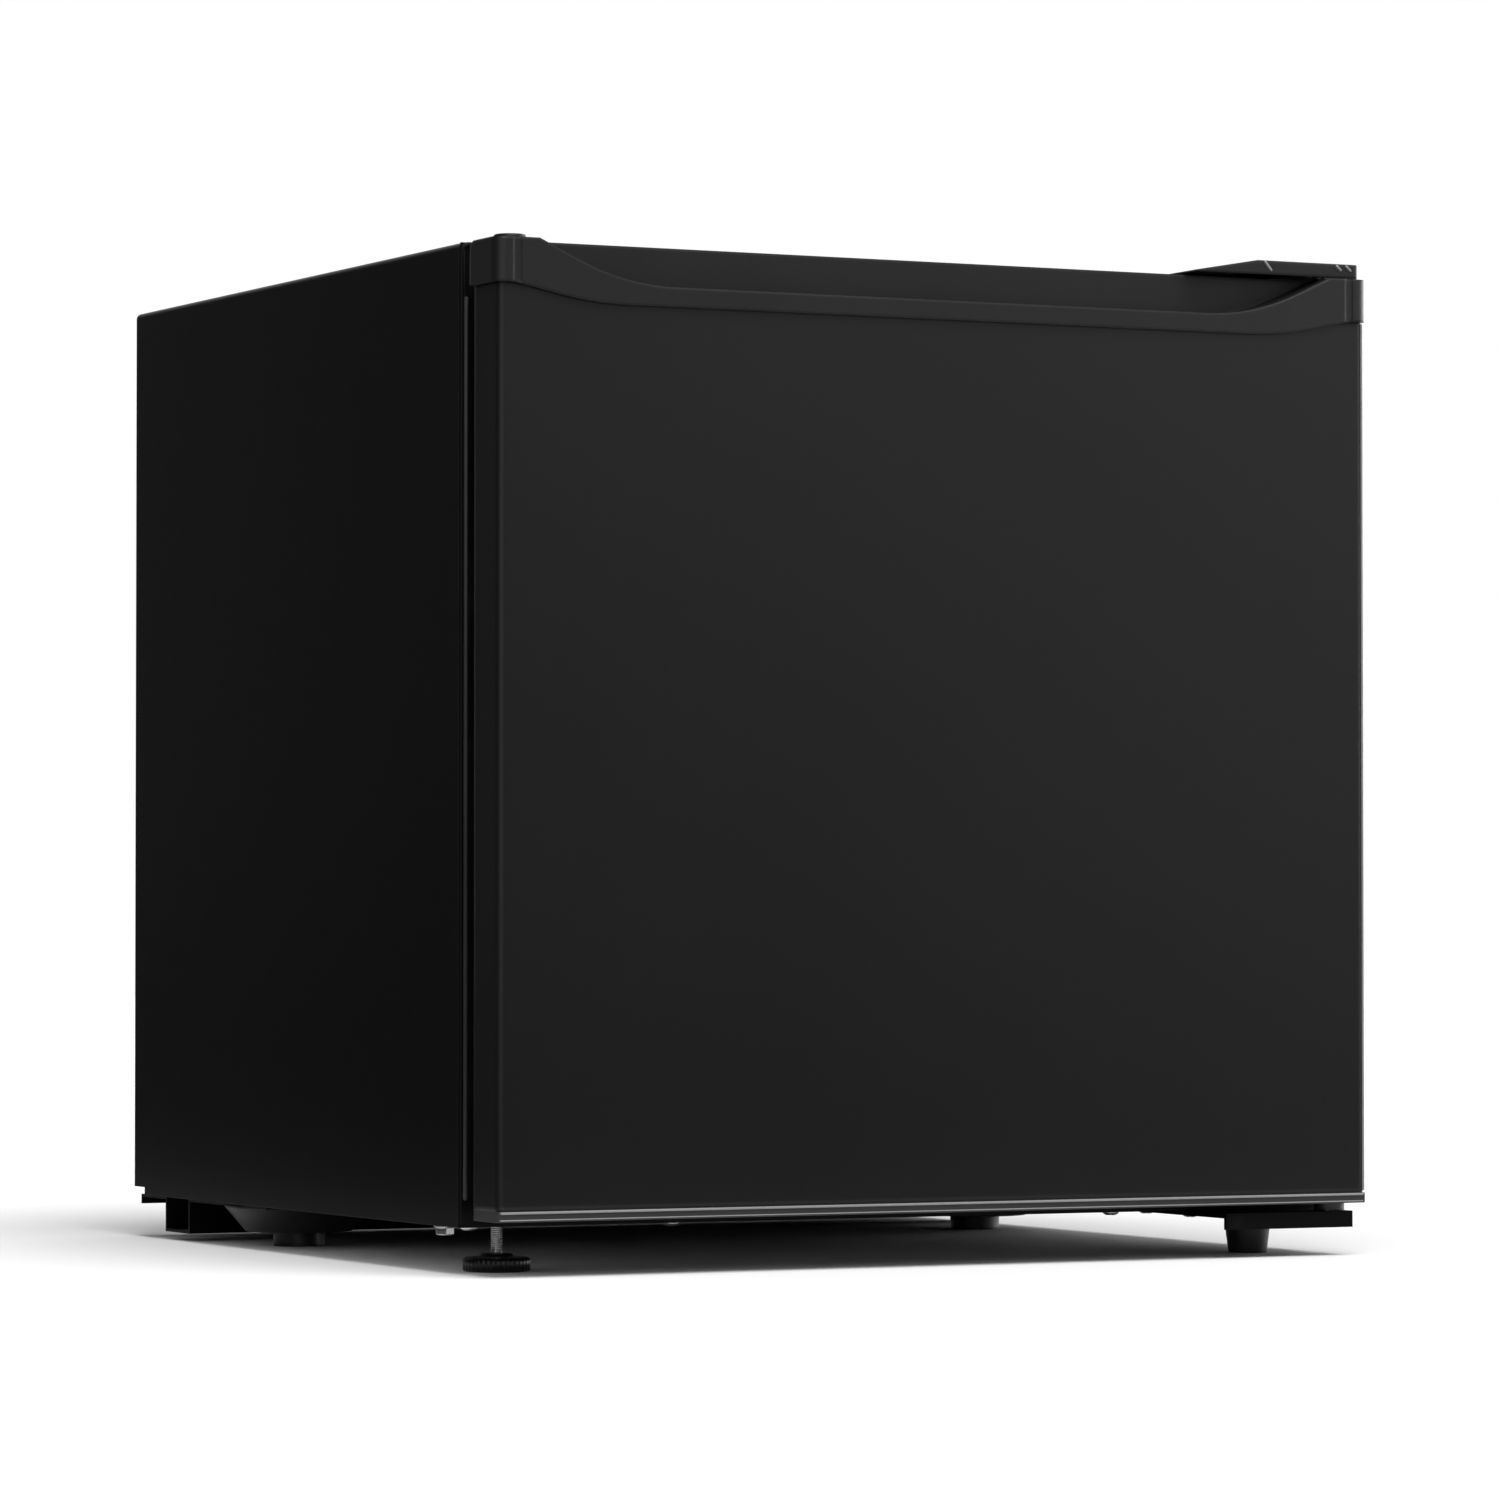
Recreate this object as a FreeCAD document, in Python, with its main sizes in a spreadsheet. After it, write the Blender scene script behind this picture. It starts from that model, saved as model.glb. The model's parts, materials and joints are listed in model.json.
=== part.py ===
"""A compact cube refrigerator: cabinet, door, cooling circuit and fittings.

Frame: millimetres, +Z up, +X to the right seen from the front, the door faces -Y.
The origin is at the middle of the footprint, on the floor.
"""
import FreeCAD, Part
import math
import os
import re
import Sketcher
from FreeCAD import Placement, Rotation, Vector

# ---------------------------------------------------------------- driving sizes, millimetres
SIZES = {
    # how far a cut runs past a face
    "past": 1, "bore_past": 5,
    # cabinet
    "cabinet_width": 470, "cabinet_depth": 410, "cabinet_height": 459, "floor_gap": 22,
    "steel": 0.8, "front_flange": 18, "top_flange": 30, "rail_tall": 28, "shell_round": 3,
    "rail_return": 40,
    "side_wall": 38, "top_wall": 38, "back_wall": 40, "floor_wall": 35, "liner": 1.5,
    "bay_depth": 135, "step_wall": 35, "step_cover": 20,
    "notch_length": 14, "notch_height": 4,
    # door
    "door_inset": 1, "door_depth": 27, "door_gap": 4, "panel_round": 3, "panel_hem": 9,
    "seal_depth": 15, "seal_gap": 0.5, "seal_inset": 8, "seal_drop": 4, "seal_width": 12,
    "seal_neck": 7, "seal_neck_deep": 5, "seal_neck_inset": 2.5, "door_liner_inset": 4,
    # handle cap and bottom cap of the door
    "cap_proud": 2, "cap_side": 2, "cap_drop": 1, "cap_end": 20.8, "cap_middle": 29.3,
    "cap_back": 1, "cap_corner": 6, "cap_back_round": 5,
    "skirt_inset": 1, "seam_outer": 9, "seam_inner": 50, "seam_end_round": 30,
    "seam_round": 170,
    "lip_drop": 20, "lip_outer": 22, "lip_inner": 66, "lip_round": 120, "lip_wall": 2.2,
    "trough_depth": 40, "trough_back": 18, "trough_side": 70, "trough_wall": 2, "trough_round": 12,
    "trough_over": 12,
    "valley_place": 9, "valley_width": 4, "valley_depth": 0.5,
    "bottom_cap": 5,
    # hinges
    "hinge_side": 12, "hinge_front": 14, "pin_radius": 3, "pin_fit": 0.05,
    "bush_wall": 2.5, "bush_length": 14, "bush_rim": 2, "rim_gap": 0.3,
    "plate": 2.5, "top_plate_width": 62, "top_plate_back": 70, "pin_edge": 8, "pin_end": 2,
    "plate_round": 5, "nose_width": 24, "nose_back": 8, "top_screw_back": 24, "screw_edge": 14,
    "screw_step": 28,
    "rivet_head": 5, "rivet_height": 1.4,
    "cover_height": 11, "cover_front_height": 6.8, "cover_left": 92, "cover_ramp": 58,
    "cover_slope": 46, "cover_length": 112, "cover_edge": 2, "cover_wall": 1.6, "cover_round": 2,
    "cover_toe": 0.8, "cover_room": 5.2, "cover_fit": 0.4, "cover_inner": 34.5,
    "bracket_width": 72, "bracket_lip": 8, "bracket_back": 78, "bracket_front": 5,
    "bracket_screw_near": 21, "bracket_screw_far": 64,
    "plug_radius": 7.5, "plug_height": 2.5, "plug_stub": 9, "plug_gap": 0.1, "plug_soft": 0.8,
    # screws
    "screw_radius": 2, "screw_head": 4, "screw_head_height": 2, "screw_length": 10,
    # feet
    "foot_radius": 16, "foot_height": 8.5, "foot_bevel": 1.5, "foot_inset": 31, "foot_back": 25,
    "stem_radius": 3, "stem_length": 30, "stem_gap": 0.3,
    "nut_well": 20, "nut_radius": 5.8, "nut_height": 5, "nut_gap": 0.2,
    "stub_radius": 12, "stub_tip": 9.5, "stub_inset": 35, "stub_back": 13,
    "dome_radius": 38, "dome_tip": 27, "dome_height": 13, "nub_radius": 13,
    "dome_inset": 40, "dome_gap": 20,
    # base plate of the compressor
    "base_steel": 1.5, "base_overlap": 34, "channel_back": 34, "channel_width": 33,
    "channel_depth": 18, "base_hem": 5, "base_inset": 3, "base_screw_edge": 12, "base_screw_gap": 27,
    "corner_screw": 10, "middle_screw": 38,
    # compressor
    "pump_radius": 52, "pump_height": 112, "pump_room": 41.5, "pump_side": 40,
    "pump_round": 26, "pump_seam": 2,
    "pump_foot": 2.5, "pump_pitch_wide": 134, "pump_pitch_deep": 88,
    "mount_radius": 9, "mount_height": 9, "bolt_radius": 3, "bolt_head": 5.5, "bolt_over": 1,
    "relay_width": 16, "relay_deep": 46, "relay_tall": 58,
    "pipe_radius": 3, "pipe_bend": 14, "pipe_rise": 20, "pipe_side": 18,
    "suction_side": 120, "drier_radius": 8, "drier_length": 70, "drier_tail": 6,
    # condenser on the back
    "coil_stand": 16, "coil_lead": 20, "return_side": 12, "drier_tall": 120,
    "coil_radius": 2.5, "coil_side": 45, "coil_rows": 7,
    "coil_above": 45, "coil_under": 45, "wire_radius": 0.8, "wire_side": 9.5, "wire_count": 20,
    "wire_over": 10,
    "clip_width": 12, "clip_height": 18, "clip_wires": 8,
    "spacer_width": 26, "spacer_height": 12, "spacer_side": 30, "spacer_low": 10,
    # cooling box and its parts
    "box_width": 215, "box_setback": 121, "box_tall": 92, "box_steel": 1.5, "box_side_gap": 8,
    "box_back_gap": 14, "hanger_radius": 4, "hanger_height": 5, "hanger_inset": 22,
    "bezel_deep": 10, "bezel_wide": 9, "bezel_over": 2.5, "ear_wide": 3.5, "ear_long": 10,
    "ear_lead": 1,
    "ear_tall": 12, "flap_pin": 2, "flap_thick": 3, "flap_side_gap": 1, "flap_above": 3,
    "flap_pin_drop": 7, "flap_low": 2, "flap_grip": 9,
    "rail_steel": 1.5, "rail_foot": 5, "rail_drop": 14, "rail_up": 12,
    "tray_tall": 24, "tray_wall": 2, "tray_side": 6, "tray_gap": 0.3, "tray_rim": 4,
    "control_width": 78, "control_tall": 56, "control_deep": 96, "control_wall": 2,
    "control_front": 88, "control_drop": 6, "control_round": 6,
    "dial_radius": 17, "dial_tall": 11, "dial_gap": 0.4, "dial_grip": 3, "shaft_radius": 3,
    "shaft_length": 14, "switch_width": 34, "switch_tall": 26, "switch_deep": 30,
    "probe_radius": 1, "probe_bend": 8, "probe_reach": 40,
    # gland of the mains lead
    "gland_x": 150, "gland_half": 10, "gland_deep": 12, "gland_tall": 16, "gland_bore": 4,
    # shelf and door racks
    "shelf_above": 4, "shelf_glass": 4, "shelf_gap": 0.3, "shelf_side": 1.5,
    "trim_soft": 3, "shelf_front": 76,
    "shelf_trim": 10, "shelf_trim_tall": 12, "rib_wide": 7, "rib_tall": 5, "rib_front": 46,
    "dyke_reach": 31, "dyke_wide": 34, "dyke_gap": 11, "dyke_low": 10, "dyke_under": 3,
    "dyke_round": 6, "top_reach": 8, "top_gap": 10, "top_high": 14, "rack_wall": 2, "rack_tall": 46,
    "rack_low": 12, "rack_step": 134, "rack_setback": 2,
}

# ---------------------------------------------------------------- places worked out from the sizes
PLACES = {
    "overall_depth": "cap_proud + door_depth + seal_depth + cabinet_depth + coil_stand",
    "cap_front": "-overall_depth / 2",
    "door_front": "cap_front + cap_proud",
    "door_back": "door_front + door_depth",
    "cabinet_front": "door_back + seal_depth",
    "cabinet_back": "cabinet_front + cabinet_depth",
    "rear": "cabinet_back + coil_stand",
    "half": "cabinet_width / 2",
    "door_half": "half - door_inset",
    "cap_half": "door_half + cap_side",
    "top": "floor_gap + cabinet_height",
    "cap_top": "top - cap_drop",
    "inside": "half - steel",
    "face_half": "half - front_flange",
    "face_low": "floor_gap + rail_tall",
    "face_high": "top - top_flange",
    "room_half": "half - side_wall",
    "room_low": "floor_gap + floor_wall",
    "room_high": "top - top_wall",
    "room_back": "cabinet_back - back_wall",
    "bay_front": "cabinet_back - bay_depth",
    "pump_low": "floor_gap + mount_height",
    "pump_base": "pump_low + pump_foot",
    "pump_high": "pump_base + pump_height",
    "bay_top": "pump_high + pump_room",
    "step_front": "bay_front - step_wall",
    "step_top": "bay_top + step_cover",
    # hinge axis
    "hinge_x": "door_half - hinge_side",
    "hinge_y": "door_front + hinge_front",
    "bush_radius": "pin_radius + bush_wall",
    "plate_right": "hinge_x + pin_edge",
    "plate_left": "plate_right - top_plate_width",
    "plate_front": "hinge_y - pin_edge",
    "plate_rear": "cabinet_front + top_plate_back",
    "cover_right": "cap_half - cover_edge",
    "cover_left_x": "cover_right - cover_left",
    "cover_front": "plate_front - cover_wall - cover_fit",
    "bracket_left": "plate_right - bracket_width",
    "bracket_low": "floor_gap - plate",
    "door_low": "floor_gap + door_gap",
    "panel_low": "door_low + bottom_cap",
    "panel_high": "cap_top - cap_end",
    "trough_front": "door_front + steel + lip_wall",
    "trough_rear": "cap_front + trough_back",
    "liner_half": "door_half - door_liner_inset",
    "liner_low": "panel_low + door_liner_inset",
    "liner_high": "panel_high - door_liner_inset",
    "liner_back": "door_back + liner",
    "seal_half": "door_half - seal_inset",
    "seal_low": "panel_low + seal_drop",
    "seal_high": "panel_high - seal_drop",
    "seal_back": "cabinet_front - seal_gap",
    # base plate and feet
    "base_low": "floor_gap - base_steel",
    "base_front": "bay_front - base_overlap",
    "channel_rear": "cabinet_back - channel_back",
    "channel_front": "channel_rear - channel_width",
    "channel_low": "floor_gap - channel_depth",
    "base_half": "inside - base_inset",
    "dome_x": "half - dome_inset",
    "base_screw_x": "dome_x - dome_radius - base_screw_gap",
    "dome_y": "channel_front - dome_radius - dome_gap",
    "foot_x": "half - foot_inset",
    "foot_y": "cabinet_front + foot_back",
    "stub_x": "half - stub_inset",
    "stub_y": "cabinet_front + stub_back",
    # compressor
    "pump_x": "-pump_side",
    "pump_y": "bay_front + bay_depth / 2",
    # cooling box
    "box_left": "-room_half + box_side_gap",
    "box_right": "box_left + box_width",
    "box_rear": "room_back - box_back_gap",
    "box_front": "cabinet_front + box_setback",
    "box_deep": "box_rear - box_front",
    "box_high": "room_high - hanger_height",
    "box_low": "box_high - box_tall",
    "bezel_front": "box_front - bezel_deep",
    "flap_axis_y": "bezel_front - ear_long / 2 - ear_lead",
    "flap_axis_z": "box_high - flap_pin_drop",
    "rail_low": "box_low - rail_drop",
    "tray_high": "rail_low + rail_steel + tray_gap + tray_wall",
    "tray_left": "box_left + tray_side",
    "tray_right": "box_right - tray_side",
    "control_right": "room_half",
    "control_left": "control_right - control_width",
    "control_x": "control_left + control_width / 2",
    "control_y": "cabinet_front + control_front",
    "control_high": "room_high - control_drop",
    "control_z": "control_high - control_tall / 2",
    # shelf and racks
    "shelf_low": "step_top + shelf_above",
    "shelf_y": "cabinet_front + shelf_front",
    "rib_high": "shelf_low - shelf_gap",
    "rib_rise": "(rail_low - rib_high) / 2",
    "dyke_half": "room_half - dyke_gap",
    "dyke_back": "cabinet_front + dyke_reach",
    "dyke_bottom": "room_low + dyke_low",
    "dyke_top": "box_low - dyke_under",
    "field_top": "room_high - top_high",
    "rack_half": "dyke_half - dyke_wide",
    # condenser
    "coil_y": "rear - coil_radius",
    "coil_half": "half - coil_side",
    "coil_low": "bay_top + coil_above",
    "coil_high": "top - coil_under",
    "coil_pitch": "(coil_high - coil_low) / (coil_rows - 1)",
    "wire_y": "coil_y - coil_radius - wire_radius",
    "wire_pitch": "2 * (coil_half - wire_side) / (wire_count - 1)",
    "clip_place": "clip_wires * wire_pitch",
    "spacer_place": "half - spacer_side",
}

doc = FreeCAD.newDocument("cube_fridge")


def fill_sheet(name, cells):
    """Make a spreadsheet with one named cell for each entry."""
    sheet = doc.addObject("Spreadsheet::Sheet", name)
    for row, (alias, content) in enumerate(cells.items(), start=1):
        text = content if isinstance(content, str) else str(content)
        sheet.set(f"A{row}", alias)
        sheet.set(f"B{row}", "=" + link(text) if isinstance(content, str) else text)
        sheet.setAlias(f"B{row}", alias)
    doc.recompute()
    return sheet


def link(text):
    """Put the sheet's name before every named size in an expression."""
    def sheet_name(match):
        word = match.group()
        if word in SIZES:
            return "Sizes." + word
        return "Places." + word if word in PLACES else word
    return re.sub(r"[a-z_]+", sheet_name, text)


sizes = fill_sheet("Sizes", SIZES)
places = fill_sheet("Places", PLACES)
nodes = []


def number(text):
    """Work out an expression of named sizes."""
    return float(sizes.evalExpression(link(text)))


def bind(item, property_name, text):
    item.setExpression(property_name, link(text))


def keep(item, label):
    """Mark an object as one of the finished pieces."""
    item.Label = label
    nodes.append(item)
    return item


def new_body(label):
    return keep(doc.addObject("PartDesign::Body", label), label)


# ---------------------------------------------------------------- sketches
# The front plane's normal points to -Y, the other two point along +X and +Z.
PLANES = {"front": ("XZ_Plane", -1), "side": ("YZ_Plane", 1), "flat": ("XY_Plane", 1)}


def new_sketch(body, plane, height):
    """A sketch on one of the body's own planes, moved along the axis to the given height."""
    role, sign = PLANES[plane]
    origin_plane = next(item for item in body.Origin.OriginFeatures if item.Role == role)
    sketch = body.newObject("Sketcher::SketchObject", body.Label + "_outline")
    sketch.AttachmentSupport = [(origin_plane, "")]
    sketch.MapMode = "FlatFace"
    bind(sketch, "AttachmentOffset.Base.z", f"{sign} * ({height})")
    return sketch


def place_point(sketch, curve, point, across, along):
    """Tie one point of a curve to the sketch's origin with two named distances."""
    for kind, text in (("DistanceX", across), ("DistanceY", along)):
        spot = number(text)
        if abs(spot) < 1e-6:
            axis = -2 if kind == "DistanceX" else -1
            sketch.addConstraint(Sketcher.Constraint("PointOnObject", curve, point, axis))
            continue
        index = sketch.addConstraint(Sketcher.Constraint(kind, -1, 1, curve, point, spot))
        sketch.setExpression(f"Constraints[{index}]", link(text))


def draw_outline(sketch, points):
    """A closed outline of straight lines through named points."""
    spots = [Vector(number(across), number(along), 0) for across, along in points]
    first = sketch.GeometryCount
    count = len(points)
    for index in range(count):
        line = Part.LineSegment(spots[index], spots[(index + 1) % count])
        sketch.addGeometry(line, False)
    for index in range(count):
        following = first + (index + 1) % count
        sketch.addConstraint(Sketcher.Constraint("Coincident", first + index, 2, following, 1))
    for index, (across, along) in enumerate(points):
        place_point(sketch, first + index, 1, across, along)


def draw_circle(sketch, across, along, radius):
    middle = Vector(number(across), number(along), 0)
    circle = Part.Circle(middle, Vector(0, 0, 1), number(radius))
    curve = sketch.addGeometry(circle, False)
    place_point(sketch, curve, 3, across, along)
    index = sketch.addConstraint(Sketcher.Constraint("Radius", curve, number(radius)))
    sketch.setExpression(f"Constraints[{index}]", link(radius))


def rectangle(left, right, low, high):
    return [(left, low), (right, low), (right, high), (left, high)]


def draw(sketch, shapes):
    for shape in shapes:
        if isinstance(shape, tuple):
            draw_circle(sketch, *shape)
        else:
            draw_outline(sketch, shape)


def pad(body, plane, shapes, start, length):
    """Add material from start, along the axis, for the given length."""
    height = f"({start}) + ({length})" if plane == "front" else start
    sketch = new_sketch(body, plane, height)
    draw(sketch, shapes)
    feature = body.newObject("PartDesign::Pad", body.Label + "_pad")
    feature.Profile = sketch
    bind(feature, "Length", length)
    doc.recompute()
    return feature


def pocket(body, plane, shapes, start, length):
    """Take material away from start, along the axis, for the given length."""
    before = body.Shape.Volume
    height = start if plane == "front" else f"({start}) + ({length})"
    sketch = new_sketch(body, plane, height)
    draw(sketch, shapes)
    feature = body.newObject("PartDesign::Pocket", body.Label + "_pocket")
    feature.Profile = sketch
    bind(feature, "Length", length)
    doc.recompute()
    if body.Shape.Volume >= before:
        raise ValueError(f"a pocket in {body.Label} cuts nothing")
    return feature


def round_edges(body, radius, chosen):
    """Fillet the edges of the body's last feature that pass the test."""
    base = body.Tip
    names = [f"Edge{index}" for index, edge in enumerate(base.Shape.Edges, start=1)
             if chosen(edge)]
    if not names:
        raise ValueError(f"no edge to round on {body.Label}")
    feature = body.newObject("PartDesign::Fillet", body.Label + "_round")
    feature.Base = (base, names)
    bind(feature, "Radius", radius)
    doc.recompute()
    if "Invalid" in feature.State:
        raise ValueError(f"{body.Label} can't be rounded by {radius}")
    return feature


def near(one, other):
    return abs(one - other) < 1e-4


def edge_along(edge, axis):
    """True for a straight edge that runs along the axis 0, 1 or 2."""
    if edge.Curve.TypeId != "Part::GeomLine":
        return False
    return near(abs(edge.tangentAt(edge.FirstParameter)[axis]), 1)


def edge_middle(edge):
    return edge.valueAt((edge.FirstParameter + edge.LastParameter) / 2)


def axis_edges(axis, test=lambda middle: True):
    """A test for straight edges along an axis whose middle passes another test."""
    return lambda edge: edge_along(edge, axis) and test(edge_middle(edge))


# ---------------------------------------------------------------- simple solids and booleans
TURNS = {
    "z": Rotation(),
    "y": Rotation(Vector(1, 0, 0), -90),
    "x": Rotation(Vector(0, 1, 0), 90),
}


def box(label, left, right, front, back, low, high):
    item = doc.addObject("Part::Box", label)
    bind(item, "Length", f"({right}) - ({left})")
    bind(item, "Width", f"({back}) - ({front})")
    bind(item, "Height", f"({high}) - ({low})")
    for axis, text in zip("xyz", (left, front, low)):
        bind(item, "Placement.Base." + axis, text)
    return item


def place_round(item, spot, axis):
    item.Placement = Placement(Vector(), TURNS[axis])
    for letter, text in zip("xyz", spot):
        bind(item, "Placement.Base." + letter, text)
    return item


def cylinder(label, spot, radius, length, axis="z"):
    item = doc.addObject("Part::Cylinder", label)
    bind(item, "Radius", radius)
    bind(item, "Height", length)
    return place_round(item, spot, axis)


def cone(label, spot, radius, far_radius, length, axis="z"):
    item = doc.addObject("Part::Cone", label)
    bind(item, "Radius1", radius)
    bind(item, "Radius2", far_radius)
    bind(item, "Height", length)
    return place_round(item, spot, axis)


def fuse(label, items):
    item = doc.addObject("Part::MultiFuse", label)
    item.Shapes = items
    return item


def cut(label, item, tool):
    result = doc.addObject("Part::Cut", label)
    result.Base = item
    result.Tool = tool
    return result


def soften(label, item, radius, chosen):
    """A rounded copy of a simple solid."""
    doc.recompute()
    result = doc.addObject("Part::Fillet", label)
    result.Base = item
    reach = number(radius)
    result.Edges = [(index, reach, reach) for index, edge in enumerate(item.Shape.Edges, start=1)
                    if chosen(edge)]
    return result


def screws(label, spots, axis, head_side, head="screw_head", height="screw_head_height",
           shank="screw_radius", length="screw_length"):
    """Identical screws: each spot is where the head meets the plate."""
    items = []
    for index, spot in enumerate(spots):
        letter = "xyz".index(axis)
        head_spot = list(spot)
        shank_spot = list(spot)
        lower = head_spot if head_side < 0 else shank_spot
        reach = height if head_side < 0 else length
        lower[letter] = f"({spot[letter]}) - {reach}"
        cap = cylinder(f"{label}_head_{index}", head_spot, head, height, axis)
        stud = cylinder(f"{label}_shank_{index}", shank_spot, shank, length, axis)
        items += [cap, stud]
    return keep(fuse(label, items), label)


def tube(label, points, radius, bend):
    """A round tube along straight runs joined by arcs of the given bend radius."""
    corners = [Vector(*(number(text) for text in point)) for point in points]
    reach = number(bend)
    edges = []
    start = corners[0]
    for before, corner, after in zip(corners, corners[1:], corners[2:]):
        back = (before - corner).normalize()
        ahead = (after - corner).normalize()
        half_turn = back.getAngle(ahead) / 2
        inward = (back + ahead).normalize()
        arc_start = corner + back * (reach / math.tan(half_turn))
        arc_end = corner + ahead * (reach / math.tan(half_turn))
        arc_middle = corner + inward * (reach / math.sin(half_turn) - reach)
        if (arc_start - start).Length > 1e-4:
            edges.append(Part.LineSegment(start, arc_start).toShape())
        edges.append(Part.Arc(arc_start, arc_middle, arc_end).toShape())
        start = arc_end
    edges.append(Part.LineSegment(start, corners[-1]).toShape())
    ring = Part.Wire(Part.makeCircle(number(radius), corners[0], corners[1] - corners[0]))
    solid = Part.Wire(edges).makePipeShell([ring], True, False)
    item = doc.addObject("Part::Feature", label)
    item.Shape = solid
    item.Placement = Placement()
    return keep(item, label)




# ---------------------------------------------------------------- screw places, seen from above
TOP_SCREWS = [("plate_left + screw_edge", "cabinet_front + top_screw_back"),
              ("plate_left + screw_edge + screw_step", "cabinet_front + top_screw_back"),
              ("plate_left + screw_edge + screw_step / 2",
               "cabinet_front + top_screw_back + screw_step")]
BOTTOM_SCREWS = [("bracket_left + screw_edge", "cabinet_front + bracket_screw_near"),
                 ("bracket_left + screw_edge", "cabinet_front + bracket_screw_far"),
                 ("plate_right - screw_edge", "cabinet_front + bracket_screw_far")]
RAIL_SCREWS = [("corner_screw - half", "cabinet_front + corner_screw"),
               ("middle_screw - bracket_left", "cabinet_front + corner_screw"),
               ("bracket_left - middle_screw", "cabinet_front + corner_screw")]
PLATE_SCREWS = [("-base_screw_x", "base_front + base_screw_edge"),
                ("base_screw_x", "base_front + base_screw_edge")]


# ---------------------------------------------------------------- cabinet shell and insulation
def u_outline(outer, inner_x, inner_z):
    """A U turned upside down, open at the cabinet's lower edge."""
    return [(f"-{outer}", "floor_gap"), (f"-{outer}", "top"), (outer, "top"),
            (outer, "floor_gap"), (inner_x, "floor_gap"), (inner_x, inner_z),
            (f"-({inner_x})", inner_z), (f"-({inner_x})", "floor_gap")]


def outer_shell():
    """The wrapped steel sides and top with the flange that the door seals on."""
    body = new_body("outer_shell")
    pad(body, "front", [u_outline("half", "inside", "top - steel")],
        "cabinet_front", "cabinet_depth")
    corner = axis_edges(1, lambda spot: spot.z > number("top - 2 * steel"))
    outer = axis_edges(1, lambda spot: near(spot.z, number("top")))
    inner = lambda edge: corner(edge) and not outer(edge)
    round_edges(body, "shell_round - steel", inner)
    round_edges(body, "shell_round", outer)
    pad(body, "front", [u_outline("inside", "face_half", "face_high")],
        "cabinet_front", "steel")
    for side in ("-half", "inside"):
        pocket(body, "flat", [rectangle(side, f"{side} + steel",
                                        "cabinet_back - notch_length", "cabinet_back")],
               "floor_gap", "notch_height")
    pocket(body, "flat", [(x, y, "screw_radius") for x, y in TOP_SCREWS], "top - steel", "steel")


def front_rail():
    """The folded strip that closes the shell's front under the door."""
    body = new_body("front_rail")
    pad(body, "front", [rectangle("-face_half", "face_half", "floor_gap", "face_low")],
        "cabinet_front", "steel")
    pad(body, "flat", [rectangle("-inside", "inside",
                                 "cabinet_front + steel", "cabinet_front + rail_return")],
        "floor_gap", "steel")
    holes = [(x, y, "screw_radius") for x, y in BOTTOM_SCREWS[:1] + RAIL_SCREWS]
    holes.append(("-foot_x", "foot_y", "stem_radius + stem_gap"))
    pocket(body, "flat", holes, "floor_gap", "steel")


def bottom_panel():
    """The bent sheet under the room, up behind it and over the compressor bay."""
    body = new_body("bottom_panel")
    start = "cabinet_front + rail_return"
    outline = [(start, "floor_gap"), ("bay_front", "floor_gap"), ("bay_front", "bay_top"),
               ("cabinet_back", "bay_top"), ("cabinet_back", "bay_top + steel"),
               ("bay_front - steel", "bay_top + steel"), ("bay_front - steel", "floor_gap + steel"),
               (start, "floor_gap + steel")]
    pad(body, "side", [outline], "-inside", "2 * inside")
    holes = [(x, y, "screw_radius") for x, y in BOTTOM_SCREWS[1:] + PLATE_SCREWS]
    pocket(body, "flat", holes, "floor_gap", "steel")


def back_panel():
    body = new_body("back_panel")
    pad(body, "front", [rectangle("-inside", "inside", "bay_top + steel", "top - steel")],
        "cabinet_back - steel", "steel")
    round_edges(body, "shell_round - steel",
                axis_edges(1, lambda spot: spot.z > number("top - 2 * steel")))


def liner_outline():
    """The stepped side view of the tub's outer face."""
    return [("cabinet_front + steel", "room_low - liner"), ("step_front", "room_low - liner"),
            ("step_front", "step_top - liner"), ("room_back + liner", "step_top - liner"),
            ("room_back + liner", "room_high + liner"),
            ("cabinet_front + steel", "room_high + liner")]


def insulation():
    """The foam between the shell and the liner."""
    body = new_body("cabinet_insulation")
    front = "cabinet_front + steel"
    outline = [(front, "floor_gap + steel"), ("bay_front - steel", "floor_gap + steel"),
               ("bay_front - steel", "bay_top + steel"),
               ("cabinet_back - steel", "bay_top + steel"), ("cabinet_back - steel", "top - steel"),
               (front, "top - steel")]
    pad(body, "side", [outline], "-inside", "2 * inside")
    round_edges(body, "shell_round - steel",
                axis_edges(1, lambda spot: spot.z > number("top - 2 * steel")))
    pocket(body, "side", [liner_outline()],
           "-(room_half + liner)", "2 * (room_half + liner)")
    nut_hole = [("-foot_x", "foot_y", "nut_radius + nut_gap")]
    pocket(body, "flat", nut_hole, "floor_gap + steel", "nut_well")
    pocket(body, "flat", [(x, y, "screw_radius") for x, y in TOP_SCREWS],
           "top - steel - screw_length", "screw_length")
    low_screws = BOTTOM_SCREWS + PLATE_SCREWS + RAIL_SCREWS
    pocket(body, "flat", [(x, y, "screw_radius") for x, y in low_screws],
           "floor_gap + steel", "screw_length")


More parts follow.
